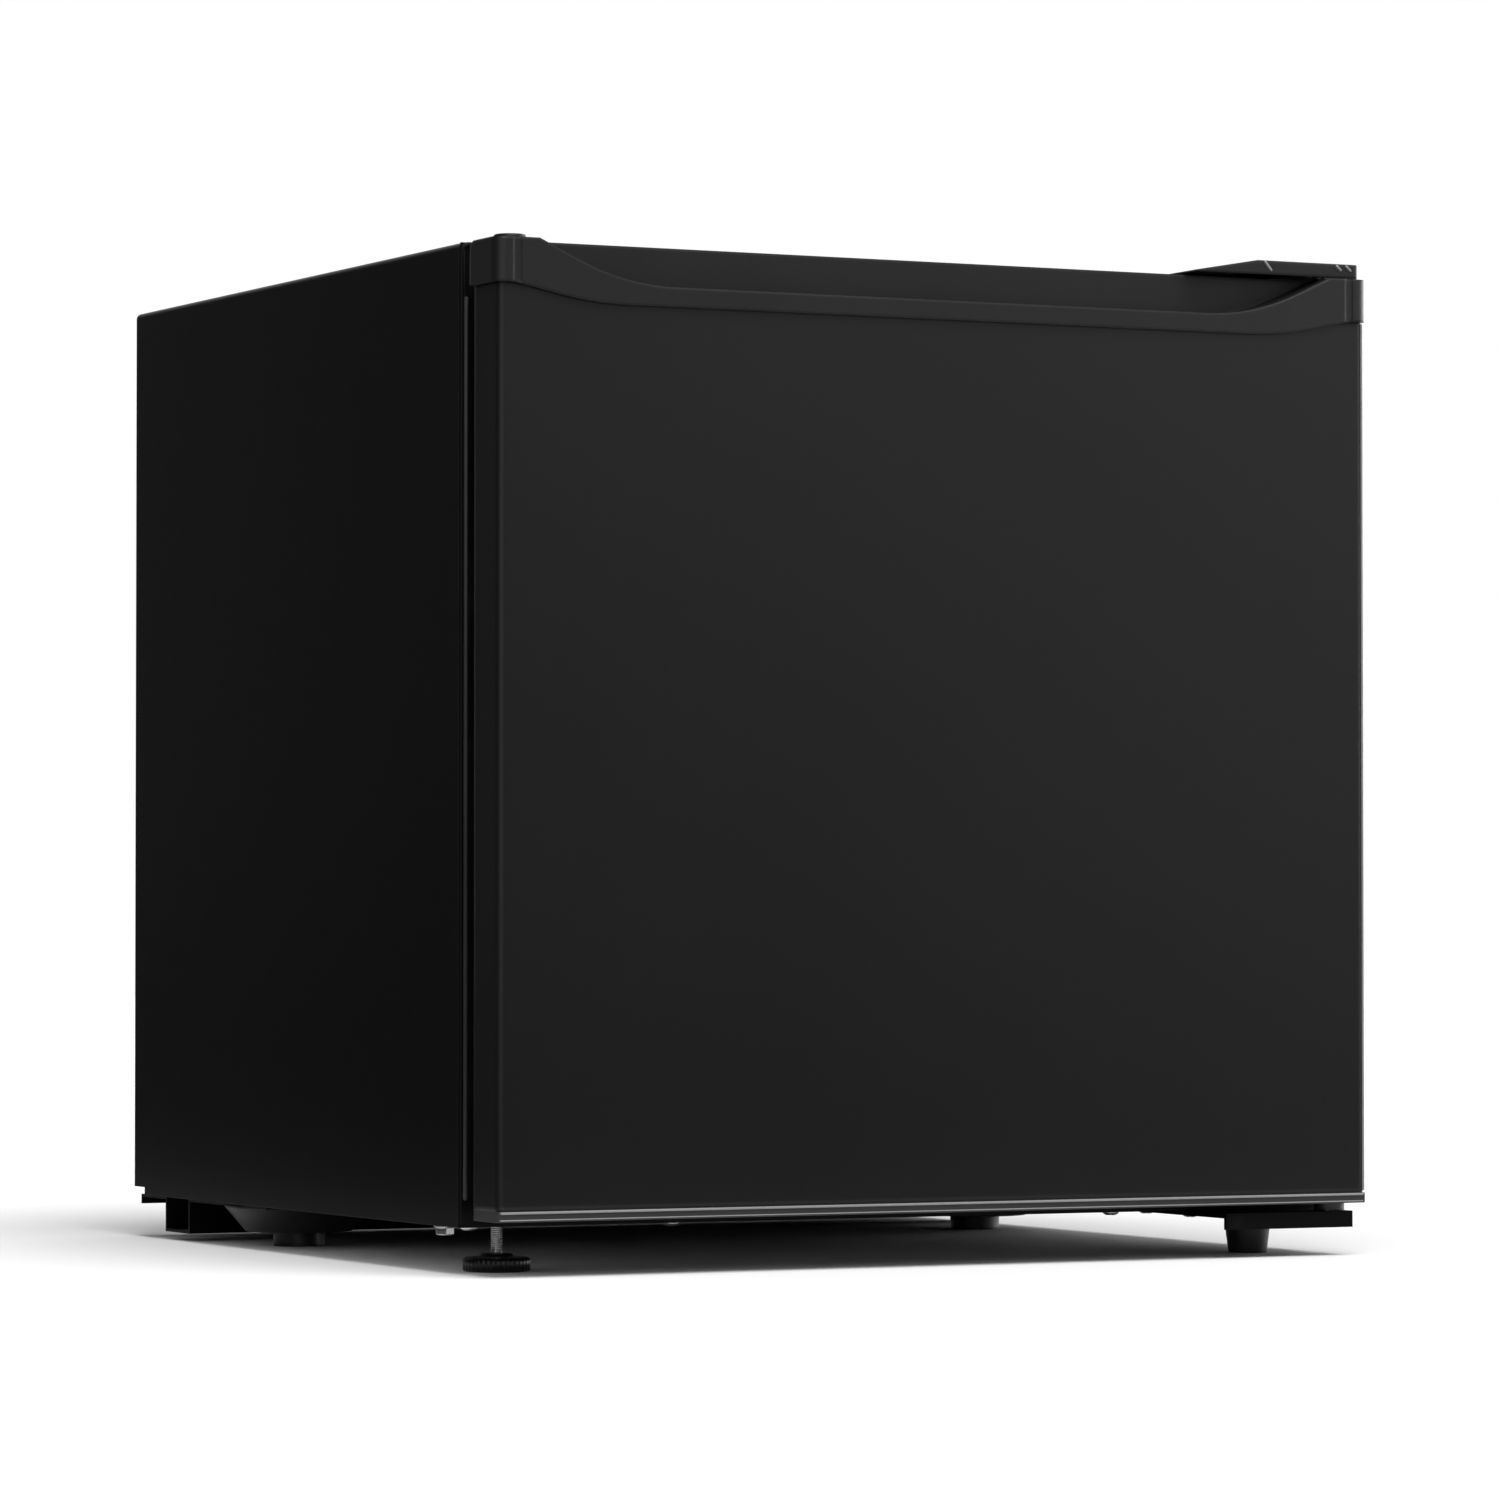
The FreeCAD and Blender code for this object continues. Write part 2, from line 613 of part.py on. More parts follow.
def inner_liner():
    """The moulded tub of the room, with the shelf's ribs and the compressor step."""
    body = new_body("inner_liner")
    pad(body, "side", [liner_outline()],
        "-(room_half + liner)", "2 * (room_half + liner)")
    pad(body, "front", [rectangle("-face_half", "face_half", "face_low", "face_high")],
        "cabinet_front", "steel")
    room = [("cabinet_front - past", "room_low"), ("step_front - liner", "room_low"),
            ("step_front - liner", "step_top"), ("room_back", "step_top"),
            ("room_back", "room_high"), ("cabinet_front - past", "room_high")]
    pocket(body, "side", [room], "-room_half", "2 * room_half")
    for rise in ("0", "rib_rise"):
        high = f"rib_high + {rise}"
        for left, right in (("-room_half", "rib_wide - room_half"),
                            ("room_half - rib_wide", "room_half")):
            pad(body, "front", [rectangle(left, right, f"{high} - rib_tall", high)],
                "cabinet_front + rib_front", "room_back - cabinet_front - rib_front")


# ---------------------------------------------------------------- door
# Raised fields of the door liner: left, right, low, high and how far they reach back.
RAISED = [("rack_half", "dyke_half", "dyke_bottom", "dyke_top", "dyke_back"),
          ("-dyke_half", "-rack_half", "dyke_bottom", "dyke_top", "dyke_back"),
          ("-dyke_half", "dyke_half", "dyke_top + top_gap", "field_top",
           "cabinet_front + top_reach")]
PIN_HOLES = [("hinge_x", "hinge_y", "bush_radius"), ("-hinge_x", "hinge_y", "bush_radius")]


def trough(grow, high):
    """The finger trough behind the lip, in the front view, grown by a wall."""
    return rectangle(f"trough_side - cap_half - ({grow})", f"cap_half - trough_side + {grow}",
                     f"cap_top - trough_depth - ({grow})", high)


def trough_shell(body):
    """Clear the space of the moulded trough out of the panel or the foam."""
    pocket(body, "front", [trough("trough_wall", "panel_high")],
           "door_front + steel", "trough_rear + trough_wall - door_front - steel")


def door_panel():
    """The painted steel skin of the door, folded back on all sides."""
    body = new_body("door_panel")
    pad(body, "front", [rectangle("-door_half", "door_half", "panel_low", "panel_high")],
        "door_front", "door_depth")
    pocket(body, "front", [rectangle("steel - door_half", "door_half - steel",
                                     "panel_low + steel", "panel_high - steel")],
           "door_front + steel", "door_depth - steel")
    inner = number("door_front + steel")
    round_edges(body, "panel_round - steel", axis_edges(2, lambda spot: near(spot.y, inner)))
    front = number("door_front")
    round_edges(body, "panel_round", axis_edges(2, lambda spot: near(spot.y, front)))
    hem = [rectangle("steel - door_half", "door_half - steel",
                     "panel_low + steel", "panel_high - steel"),
           rectangle("panel_hem - door_half", "door_half - panel_hem",
                     "panel_low + panel_hem", "panel_high - panel_hem")]
    pad(body, "front", hem, "door_back - steel", "steel")
    trough_shell(body)
    pocket(body, "flat", PIN_HOLES, "panel_low", "steel")


def field_rims(wall):
    """A test for the rearmost edges of the raised fields, a wall's thickness inside them."""
    backs = [number(f"{field[4]} - {wall}") for field in RAISED]
    return lambda edge: any(near(edge.BoundBox.YMin, back) and near(edge.BoundBox.YMax, back)
                            for back in backs)


def door_foam():
    body = new_body("door_foam")
    pad(body, "front", [rectangle("steel - door_half", "door_half - steel",
                                  "panel_low + steel", "panel_high - steel")],
        "door_front + steel", "door_depth - 2 * steel")
    inner = number("door_front + steel")
    round_edges(body, "panel_round - steel", axis_edges(2, lambda spot: near(spot.y, inner)))
    pad(body, "front", [rectangle("panel_hem - door_half", "door_half - panel_hem",
                                  "panel_low + panel_hem", "panel_high - panel_hem")],
        "door_back - steel", "steel")
    for left, right, low, high, back in RAISED:
        pad(body, "front", [rectangle(f"{left} + liner", f"{right} - liner",
                                      f"{low} + liner", f"{high} - liner")],
            "door_back", f"{back} - liner - door_back")
    round_edges(body, "dyke_round - liner", field_rims("liner"))
    trough_shell(body)
    pocket(body, "flat", PIN_HOLES, "panel_low + steel", "bush_length - bottom_cap - steel")


def door_liner():
    """The moulded inner face of the door with two dykes for the racks."""
    body = new_body("door_liner")
    pad(body, "front", [rectangle("-liner_half", "liner_half", "liner_low", "liner_high")],
        "door_back", "liner")
    for left, right, low, high, back in RAISED:
        pad(body, "front", [rectangle(left, right, low, high)], "liner_back",
            f"{back} - liner_back")
    for left, right, low, high, back in RAISED:
        pocket(body, "front", [rectangle(f"{left} + liner", f"{right} - liner",
                                         f"{low} + liner", f"{high} - liner")],
               "door_back", f"{back} - liner - door_back")
    round_edges(body, "dyke_round - liner", field_rims("liner"))
    round_edges(body, "dyke_round", field_rims("0"))


def ring(half, low, high, width):
    """A rectangular ring in the front view."""
    return [rectangle(f"-({half})", half, low, high),
            rectangle(f"{width} - ({half})", f"{half} - ({width})",
                      f"{low} + {width}", f"{high} - ({width})")]


def door_gasket():
    """The soft seal: a narrow neck against the door and a wide head against the cabinet."""
    body = new_body("door_gasket")
    pad(body, "front", ring("seal_half - seal_neck_inset", "seal_low + seal_neck_inset",
                            "seal_high - seal_neck_inset", "seal_neck"),
        "liner_back", "seal_neck_deep")
    pad(body, "front", ring("seal_half", "seal_low", "seal_high", "seal_width"),
        "liner_back + seal_neck_deep", "seal_back - liner_back - seal_neck_deep")


def mirrored(points):
    """Half an outline on the right, closed by its mirror image on the left."""
    return points + [(f"-({across})", along) for across, along in reversed(points)]


def door_top_cap():
    """The moulded cap over the door's upper edge; its lip and trough are the handle."""
    body = new_body("door_top_cap")
    seam = [("cap_half - skirt_inset", "panel_high"), ("cap_half - seam_outer", "panel_high"),
            ("cap_half - seam_inner", "cap_top - cap_middle")]
    skirt = mirrored([("cap_half - skirt_inset", "cap_top - lip_drop")] + seam)
    pad(body, "front", [skirt], "cap_front", "cap_proud")
    for place, radius in (("seam_outer", "seam_end_round"), ("seam_inner", "seam_round")):
        bend = number(f"cap_half - {place}")
        round_edges(body, radius, axis_edges(1, lambda spot: near(abs(spot.x), bend)))
    pad(body, "front", [rectangle("-cap_half", "cap_half", "panel_high", "cap_top")],
        "cap_front", "door_back + cap_back - cap_front")
    front = number("cap_front")
    side = number("cap_half")
    round_edges(body, "cap_corner", axis_edges(
        2, lambda spot: near(spot.y, front) and near(abs(spot.x), side)))
    back = number("door_back + cap_back")
    high = number("cap_top")
    round_edges(body, "cap_back_round", axis_edges(
        0, lambda spot: near(spot.y, back) and near(spot.z, high)))
    pad(body, "front", [trough("trough_wall", "panel_high")],
        "door_front + steel", "trough_rear + trough_wall - door_front - steel")
    recess = mirrored([("cap_half - lip_outer", "cap_top + past"),
                       ("cap_half - lip_outer", "cap_top"),
                       ("cap_half - lip_inner", "cap_top - lip_drop")])
    pocket(body, "front", [recess], "cap_front", "trough_rear - cap_front")
    lip = number("cap_half - lip_inner")
    round_edges(body, "lip_round", axis_edges(1, lambda spot: near(abs(spot.x), lip)))
    pocket(body, "front", [trough("0", "cap_top - lip_drop + trough_over")],
           "trough_front", "trough_rear - trough_front")
    low = number("cap_top - trough_depth")
    round_edges(body, "trough_round", axis_edges(
        1, lambda spot: near(spot.z, low)))
    for left in ("cap_half - valley_place - valley_width", "valley_place - cap_half"):
        pocket(body, "front", [rectangle(left, f"{left} + valley_width",
                                         "cap_top - cap_end", "cap_top")],
               "cap_front", "valley_depth")
    pocket(body, "flat", PIN_HOLES, "cap_top - bush_length", "bush_length")


def door_bottom_cap():
    body = new_body("door_bottom_cap")
    pad(body, "flat", [rectangle("-door_half", "door_half", "door_front", "door_back")],
        "door_low", "bottom_cap")
    front = number("door_front")
    round_edges(body, "panel_round", axis_edges(2, lambda spot: near(spot.y, front)))
    pocket(body, "flat", PIN_HOLES, "door_low", "bottom_cap")


def bushing(label, low, rim_low, rim_tall):
    """A nylon bush for a hinge pin; its rim keeps the door off the hinge plate."""
    spot = ("hinge_x", "hinge_y", low)
    sleeve = cylinder(label + "_sleeve", spot, "bush_radius", "bush_length")
    rim = cylinder(label + "_rim", ("hinge_x", "hinge_y", rim_low),
                   "bush_radius + bush_rim", rim_tall)
    bore = cylinder(label + "_bore", ("hinge_x", "hinge_y", f"{low} - bore_past"),
                    "pin_radius + pin_fit", "bush_length + 2 * bore_past")
    keep(cut(label, fuse(label + "_solid", [sleeve, rim]), bore), label)


def hinge_hole_plug():
    """The cover of the spare hinge hole at the other end of the top cap."""
    spot = ("-hinge_x", "hinge_y", "cap_top")
    cap = cylinder("plug_cap", spot, "plug_radius", "plug_height")
    stub = cylinder("plug_stub", ("-hinge_x", "hinge_y", "cap_top - plug_stub"),
                    "bush_radius - plug_gap", "plug_stub")
    edge = number("cap_top + plug_height")
    crown = soften("plug_crown", cap, "plug_soft",
                   lambda line: near(line.BoundBox.ZMin, edge))
    keep(fuse("hinge_hole_plug", [crown, stub]), "hinge_hole_plug")


def door_rack(label, low):
    """An open tray between the door's dykes."""
    body = new_body(label)
    front = "dyke_back - rack_setback"
    pad(body, "flat", [rectangle("-rack_half", "rack_half", "liner_back", front)],
        low, "rack_tall")
    pocket(body, "flat", [rectangle("rack_wall - rack_half", "rack_half - rack_wall",
                                    "liner_back", f"{front} - rack_wall")],
           f"{low} + rack_wall", "rack_tall - rack_wall")


# ---------------------------------------------------------------- hinges
def top_hinge_plate():
    body = new_body("top_hinge_plate")
    outline = [("plate_right - nose_width", "plate_front"), ("plate_right", "plate_front"),
               ("plate_right", "plate_rear"), ("plate_left", "plate_rear"),
               ("plate_left", "cabinet_front + nose_back"),
               ("plate_right - nose_width", "cabinet_front + nose_back")]
    pad(body, "flat", [outline], "top", "plate")
    round_edges(body, "plate_round", axis_edges(2))
    holes = [(x, y, "screw_radius") for x, y in TOP_SCREWS]
    pocket(body, "flat", holes + [("hinge_x", "hinge_y", "pin_radius")], "top", "plate")


def hinge_pin(label, low, length, head_low):
    """A riveted hinge pin: its head lies on the outer face of the plate."""
    stud = cylinder(label + "_stud", ("hinge_x", "hinge_y", low), "pin_radius", length)
    head = cylinder(label + "_head", ("hinge_x", "hinge_y", head_low),
                    "rivet_head", "rivet_height")
    keep(fuse(label, [stud, head]), label)


def hinge_cover():
    """The low moulded hood over the top hinge, with a ramp on its inner side."""
    body = new_body("hinge_cover")
    outline = [("cover_front", "top"), ("cover_front", "top + cover_front_height"),
               ("cover_front + cover_slope", "top + cover_height"),
               ("cover_front + cover_length", "top + cover_height"),
               ("cover_front + cover_length", "top")]
    pad(body, "side", [outline], "cover_left_x", "cover_left")
    ramp = [("cover_left_x - past", "top + cover_toe"), ("cover_left_x", "top + cover_toe"),
            ("cover_left_x + cover_ramp", "top + cover_height"),
            ("cover_left_x + cover_ramp", "top + cover_height + past"),
            ("cover_left_x - past", "top + cover_height + past")]
    pocket(body, "front", [ramp], "cover_front - past", "cover_length + 2 * past")
    right = number("cover_right")
    front = number("cover_front")
    round_edges(body, "cover_round", axis_edges(
        2, lambda spot: near(spot.x, right)))
    low = number("top")
    past = number("past")
    round_edges(body, "cover_wall / 2", lambda edge: edge.BoundBox.ZMin > low + past)
    inner_right = "cover_right - cover_wall"
    inner_front = "cover_front + cover_wall"
    inner_rear = "cover_front + cover_length - cover_wall"
    for left, start, deep in (("plate_left - cover_fit", inner_front, "plate + cover_fit"),
                              ("cover_left_x + cover_inner", inner_front, "cover_room"),
                              ("cover_left_x + cover_ramp", "cover_front + cover_slope",
                               "cover_height - cover_wall")):
        pocket(body, "flat", [rectangle(left, inner_right, start, inner_rear)], "top", deep)


def bottom_hinge_bracket():
    """The steel plate that carries the door, with a folded front lip."""
    body = new_body("bottom_hinge_bracket")
    front = "door_front + bracket_front"
    pad(body, "flat", [rectangle("bracket_left", "plate_right", front,
                                 "cabinet_front + bracket_back")], "bracket_low", "plate")
    round_edges(body, "plate_round", axis_edges(
        2, lambda spot: spot.y > number("cabinet_front")))
    pad(body, "flat", [rectangle("bracket_left", "plate_right", front, f"{front} + plate")],
        "floor_gap - bracket_lip", "bracket_lip - plate")
    holes = [(x, y, "screw_radius") for x, y in BOTTOM_SCREWS]
    pocket(body, "flat", holes + [("hinge_x", "hinge_y", "pin_radius")], "bracket_low", "plate")


# ---------------------------------------------------------------- feet and base plate
def levelling_foot():
    spot = ("-foot_x", "foot_y", "0")
    disc = cylinder("foot_disc", spot, "foot_radius", "foot_height")
    edge = number("foot_height")
    pad_item = soften("levelling_foot_pad", disc, "foot_bevel",
                      lambda line: near(line.BoundBox.ZMin, edge))
    keep(pad_item, "levelling_foot_pad")
    stem = cylinder("levelling_foot_stem", ("-foot_x", "foot_y", "foot_height"),
                    "stem_radius", "stem_length")
    keep(stem, "levelling_foot_stem")
    nut = doc.addObject("Part::Prism", "nut_hex")
    nut.Polygon = 6
    bind(nut, "Circumradius", "nut_radius")
    bind(nut, "Height", "nut_height")
    place_round(nut, ("-foot_x", "foot_y", "floor_gap + steel"), "z")
    bore = cylinder("nut_bore", spot, "stem_radius + pin_fit", "foot_height + stem_length")
    keep(cut("levelling_nut", nut, bore), "levelling_nut")


def front_right_foot():
    foot = cone("front_right_foot", ("stub_x", "stub_y", "0"), "stub_tip", "stub_radius",
                "bracket_low")
    keep(foot, "front_right_foot")


def rear_foot(label, across):
    """A shallow pressed dome with a round nub that meets the floor."""
    dome = cone(label + "_dome", (across, "dome_y", "base_low - dome_height"),
                "dome_tip", "dome_radius", "dome_height")
    nub = cylinder(label + "_nub", (across, "dome_y", "0"), "nub_radius",
                   "base_low - dome_height")
    keep(fuse(label, [dome, nub]), label)


def base_plate():
    """The bent plate that carries the compressor, with a deep channel across."""
    body = new_body("base_plate")
    outline = [("base_front", "floor_gap"), ("channel_front + base_steel", "floor_gap"),
               ("channel_front + base_steel", "channel_low + base_steel"),
               ("channel_rear - base_steel", "channel_low + base_steel"),
               ("channel_rear - base_steel", "floor_gap"), ("cabinet_back", "floor_gap"),
               ("cabinet_back", "floor_gap - base_hem"),
               ("cabinet_back - base_steel", "floor_gap - base_hem"),
               ("cabinet_back - base_steel", "base_low"), ("channel_rear", "base_low"),
               ("channel_rear", "channel_low"), ("channel_front", "channel_low"),
               ("channel_front", "base_low"), ("base_front", "base_low")]
    pad(body, "side", [outline], "-base_half", "2 * base_half")
    holes = [(x, y, "screw_radius") for x, y in PLATE_SCREWS]
    holes += [(x, y, "bolt_radius") for x, y in PUMP_MOUNTS]
    pocket(body, "flat", holes, "base_low", "base_steel")


# ---------------------------------------------------------------- compressor and its fittings
PUMP_MOUNTS = [(f"pump_x {wide} pump_pitch_wide / 2", f"pump_y {deep} pump_pitch_deep / 2")
               for wide in "+-" for deep in "+-"]


def compressor():
    can = cylinder("pump_can", ("pump_x", "pump_y", "pump_base"), "pump_radius", "pump_height")
    shell = soften("pump_shell", can, "pump_round", lambda line: line.Closed)
    seam = cylinder("pump_weld", ("pump_x", "pump_y", "pump_base + pump_height / 2"),
                    "pump_radius + pump_seam", "pump_seam")
    shell = keep(fuse("compressor_shell", [shell, seam]), "compressor_shell")
    body = new_body("compressor_feet")
    pad(body, "flat", [rectangle("pump_x - pump_pitch_wide / 2 - mount_radius",
                                 "pump_x + pump_pitch_wide / 2 + mount_radius",
                                 "pump_y - pump_pitch_deep / 2 - mount_radius",
                                 "pump_y + pump_pitch_deep / 2 + mount_radius")],
        "pump_low", "pump_foot")
    round_edges(body, "mount_radius", axis_edges(2))
    pocket(body, "flat", [(x, y, "bolt_radius") for x, y in PUMP_MOUNTS],
           "pump_low", "pump_foot")
    mounts = []
    for index, (x, y) in enumerate(PUMP_MOUNTS):
        block = cylinder(f"mount_block_{index}", (x, y, "floor_gap"), "mount_radius",
                         "mount_height")
        bore = cylinder(f"mount_bore_{index}", (x, y, "floor_gap"), "bolt_radius",
                        "mount_height")
        mounts.append(cut(f"mount_{index}", block, bore))
    keep(fuse("compressor_mounts", mounts), "compressor_mounts")
    screws("compressor_bolts", [(x, y, "pump_base") for x, y in PUMP_MOUNTS], "z", 1,
           "bolt_head", "bolt_radius", "bolt_radius", "mount_height + pump_foot + base_steel + bolt_over")
    block = box("relay_block", "pump_x + pump_radius / 2", "pump_x + pump_radius + relay_width",
                "pump_y - relay_deep / 2", "pump_y + relay_deep / 2",
                "pump_high - pump_round - relay_tall", "pump_high - pump_round")
    keep(cut("relay_cover", block, shell), "relay_cover")


def refrigerant_pipes():
    rise = "pump_high + pipe_rise"
    right = "pump_x + pipe_side"
    left = "pump_x - pipe_side"
    tube("suction_tube", [(right, "pump_y", "pump_high"), (right, "pump_y", rise),
                          ("suction_side", "pump_y", rise), ("suction_side", "pump_y", "bay_top")],
         "pipe_radius", "pipe_bend")
    tube("discharge_tube", [(left, "pump_y", "pump_high"), (left, "pump_y", rise),
                            ("-coil_half", "pump_y", rise), ("-coil_half", "coil_y", rise),
                            ("-coil_half", "coil_y", "coil_low - coil_lead")],
         "coil_radius", "pipe_bend")
    path = [("-coil_half", "coil_y", "coil_low - coil_lead")]
    rows = int(number("coil_rows"))
    for row in range(rows):
        height = f"coil_low + coil_pitch * {row}"
        ends = ("-coil_half", "coil_half") if row % 2 == 0 else ("coil_half", "-coil_half")
        path += [(end, "coil_y", height) for end in ends]
    path[-1] = ("clip_place", "coil_y", "coil_high")
    tube("condenser_tube", path, "coil_radius", "coil_pitch / 2")
    outer = "coil_half + return_side"
    tube("condenser_outlet", [path[-1], (outer, "coil_y", "coil_high"),
                              (outer, "coil_y", "drier_tall"),
                              (outer, "pump_y + drier_length / 2 + drier_tail", "drier_tall")],
         "coil_radius", "pipe_bend")
    barrel = cylinder("drier_barrel", (outer, "pump_y - drier_length / 2", "drier_tall"),
                      "drier_radius", "drier_length", "y")
    tail = cone("drier_tail", (outer, "pump_y + drier_length / 2", "drier_tall"),
                "drier_radius", "coil_radius", "drier_tail", "y")
    keep(fuse("filter_drier", [barrel, tail]), "filter_drier")
    tube("capillary", [(outer, "pump_y - drier_length / 2", "drier_tall"),
                       (outer, "pump_y - drier_length / 2 - pipe_rise", "drier_tall"),
                       (outer, "pump_y - drier_length / 2 - pipe_rise", "bay_top")],
         "probe_radius", "probe_bend")


def condenser_frame():
    """The upright wires of the condenser, and the clips that carry it."""
    wires = []
    count = int(number("wire_count"))
    for index in range(count):
        across = f"({index} - (wire_count - 1) / 2) * wire_pitch"
        wires.append(cylinder(f"wire_{index}", (across, "wire_y", "coil_low - wire_over"),
                              "wire_radius", "coil_high - coil_low + 2 * wire_over"))
    keep(fuse("condenser_wires", wires), "condenser_wires")
    clips = []
    for side in ("clip_place", "-clip_place"):
        for height in ("coil_low", "coil_high"):
            clips.append(box(f"clip_{len(clips)}", f"{side} - clip_width / 2",
                             f"{side} + clip_width / 2", "cabinet_back",
                             "coil_y - coil_radius", f"{height} - clip_height / 2",
                             f"{height} + clip_height / 2"))
    keep(fuse("condenser_clips", clips), "condenser_clips")
    spacers = []
    for side in ("spacer_place", "-spacer_place"):
        spacers.append(box(f"spacer_{len(spacers)}", f"{side} - spacer_width / 2",
                           f"{side} + spacer_width / 2", "cabinet_back", "rear",
                           "top - spacer_low - spacer_height", "top - spacer_low"))
    keep(fuse("rear_spacers", spacers), "rear_spacers")


def cord_gland():
    """The moulded gland where the mains lead leaves the compressor bay."""
    body = new_body("cord_gland")
    pad(body, "flat", [rectangle("gland_x - gland_half", "gland_x + gland_half",
                                 "cabinet_back - gland_deep", "cabinet_back")],
        "floor_gap", "gland_tall")
    pocket(body, "front", [("gland_x", "floor_gap + gland_tall / 2", "gland_bore")],
           "cabinet_back - gland_deep", "gland_deep")


# ---------------------------------------------------------------- cooling box
def cooling_box():
    """The aluminium box that makes the cold, open at its front."""
    body = new_body("cooling_box")
    pad(body, "front", [rectangle("box_left", "box_right", "box_low", "box_high")],
        "box_front", "box_deep")
    pocket(body, "front", [rectangle("box_left + box_steel", "box_right - box_steel",
                                     "box_low + box_steel", "box_high - box_steel")],
           "box_front", "box_deep - box_steel")
    hangers = []
    for x in ("box_left + hanger_inset", "box_right - hanger_inset"):
        for y in ("box_front + hanger_inset", "box_rear - hanger_inset"):
            hangers.append(cylinder(f"hanger_{len(hangers)}", (x, y, "box_high"),
                                    "hanger_radius", "hanger_height"))
    keep(fuse("box_hangers", hangers), "box_hangers")


def cooling_box_frame():
    """The moulded front frame of the cooling box; its ears carry the flap's pins."""
    body = new_body("cooling_box_frame")
    outer = rectangle("box_left - bezel_over", "box_right + bezel_over",
                      "box_low - bezel_over", "box_high + bezel_over")
    inner = rectangle("box_left + bezel_wide", "box_right - bezel_wide",
                      "box_low + bezel_wide", "box_high - bezel_wide")
    pad(body, "front", [outer, inner], "bezel_front", "bezel_deep")
    ear = rectangle("bezel_front - ear_long", "bezel_front",
                    "flap_axis_z - ear_tall / 2", "flap_axis_z + ear_tall / 2")
    bore = [("flap_axis_y", "flap_axis_z", "flap_pin + pin_fit")]
    for left in ("box_left - bezel_over", "box_right + bezel_over - ear_wide"):
        pad(body, "side", [ear], left, "ear_wide")
        pocket(body, "side", bore, left, "ear_wide")


def freezer_flap():
    """The flap of the cooling box, hung on two moulded pins."""
    body = new_body("freezer_flap")
    left = "box_left - bezel_over + ear_wide + flap_side_gap"
    width = "box_width + 2 * bezel_over - 2 * ear_wide - 2 * flap_side_gap"
    face = "flap_axis_y - flap_thick / 2"
    outline = [(face, "box_low + flap_low + flap_thick"), (face, "flap_axis_z + flap_above"),
               ("flap_axis_y + flap_thick / 2", "flap_axis_z + flap_above"),
               ("flap_axis_y + flap_thick / 2", "box_low + flap_low"),
               (f"{face} - flap_grip", "box_low + flap_low"),
               (f"{face} - flap_grip", "box_low + flap_low + flap_thick")]
    pad(body, "side", [outline], left, width)
    pin = [("flap_axis_y", "flap_axis_z", "flap_pin")]
    reach = "ear_wide + flap_side_gap"
    pad(body, "side", pin, f"{left} - ({reach})", reach)
    pad(body, "side", pin, f"{left} + {width}", reach)


def drip_tray():
    body = new_body("drip_tray")
    front = "box_front + tray_wall"
    length = "box_deep - tray_side - tray_wall"
    pad(body, "front", [rectangle("tray_left", "tray_right", "tray_high - tray_tall",
                                  "tray_high")], front, length)
    pad(body, "front", [rectangle("box_left + tray_gap", "box_right - tray_gap",
                                  "tray_high - tray_wall", "tray_high")],
        f"{front} + tray_rim", f"{length} - tray_rim")
    pocket(body, "flat", [rectangle("tray_left + tray_wall", "tray_right - tray_wall",
                                    f"{front} + tray_wall", f"{front} + {length} - tray_wall")],
           "tray_high - tray_tall + tray_wall", "tray_tall - tray_wall")


def tray_rail(label, side, inward):
    """An angle under the cooling box that the drip tray slides on."""
    body = new_body(label)
    wall = f"{side} - rail_steel" if inward > 0 else side
    foot = wall if inward > 0 else f"{side} - rail_foot"
    start = "box_front + tray_rim"
    length = "box_deep - 2 * tray_rim"
    pad(body, "front", [rectangle(wall, f"{wall} + rail_steel", "rail_low",
                                  "box_low + rail_up")], start, length)
    pad(body, "front", [rectangle(foot, f"{foot} + rail_foot + rail_steel", "rail_low",
                                  "rail_low + rail_steel")], start, length)


# ---------------------------------------------------------------- temperature control
def control_housing():
    body = new_body("control_housing")
    pad(body, "front", [rectangle("control_left", "control_right",
                                  "control_high - control_tall", "control_high")],
        "control_y", "control_deep")
    left = number("control_left")
    round_edges(body, "control_round", axis_edges(1, lambda spot: near(spot.x, left)))
    pocket(body, "front", [rectangle("control_left + control_wall", "control_right",
                                     "control_high - control_tall + control_wall",
                                     "control_high - control_wall")],
           "control_y + control_wall", "control_deep - 2 * control_wall")
    pocket(body, "front", [("control_x", "control_z", "shaft_radius + pin_fit")],
           "control_y", "control_wall")


def thermostat():
    body = new_body("thermostat_switch")
    pad(body, "front", [rectangle("control_x - switch_width / 2", "control_x + switch_width / 2",
                                  "control_z - switch_tall / 2", "control_z + switch_tall / 2")],
        "control_y + control_wall", "switch_deep")
    pocket(body, "front", [("control_x", "control_z", "shaft_radius + pin_fit")],
           "control_y + control_wall", "shaft_length")
    dial = new_body("thermostat_dial")
    face = "control_y - dial_gap"
    pad(dial, "front", [("control_x", "control_z", "dial_radius")],
        f"{face} - dial_tall / 2", "dial_tall / 2")
    pad(dial, "front", [rectangle("control_x - dial_grip", "control_x + dial_grip",
                                  "control_z - dial_radius + dial_grip",
                                  "control_z + dial_radius - dial_grip")],
        f"{face} - dial_tall", "dial_tall / 2")
    pad(dial, "front", [("control_x", "control_z", "shaft_radius")], face, "shaft_length")
    run = "control_y + control_deep / 2"
    tube("sensor_tube", [("control_left", run, "control_z"),
                         ("box_right + probe_reach", run, "control_z"),
                         ("box_right + probe_reach", f"{run} + probe_reach", "control_z"),
                         ("box_right", f"{run} + probe_reach", "control_z")],
         "probe_radius", "probe_bend")


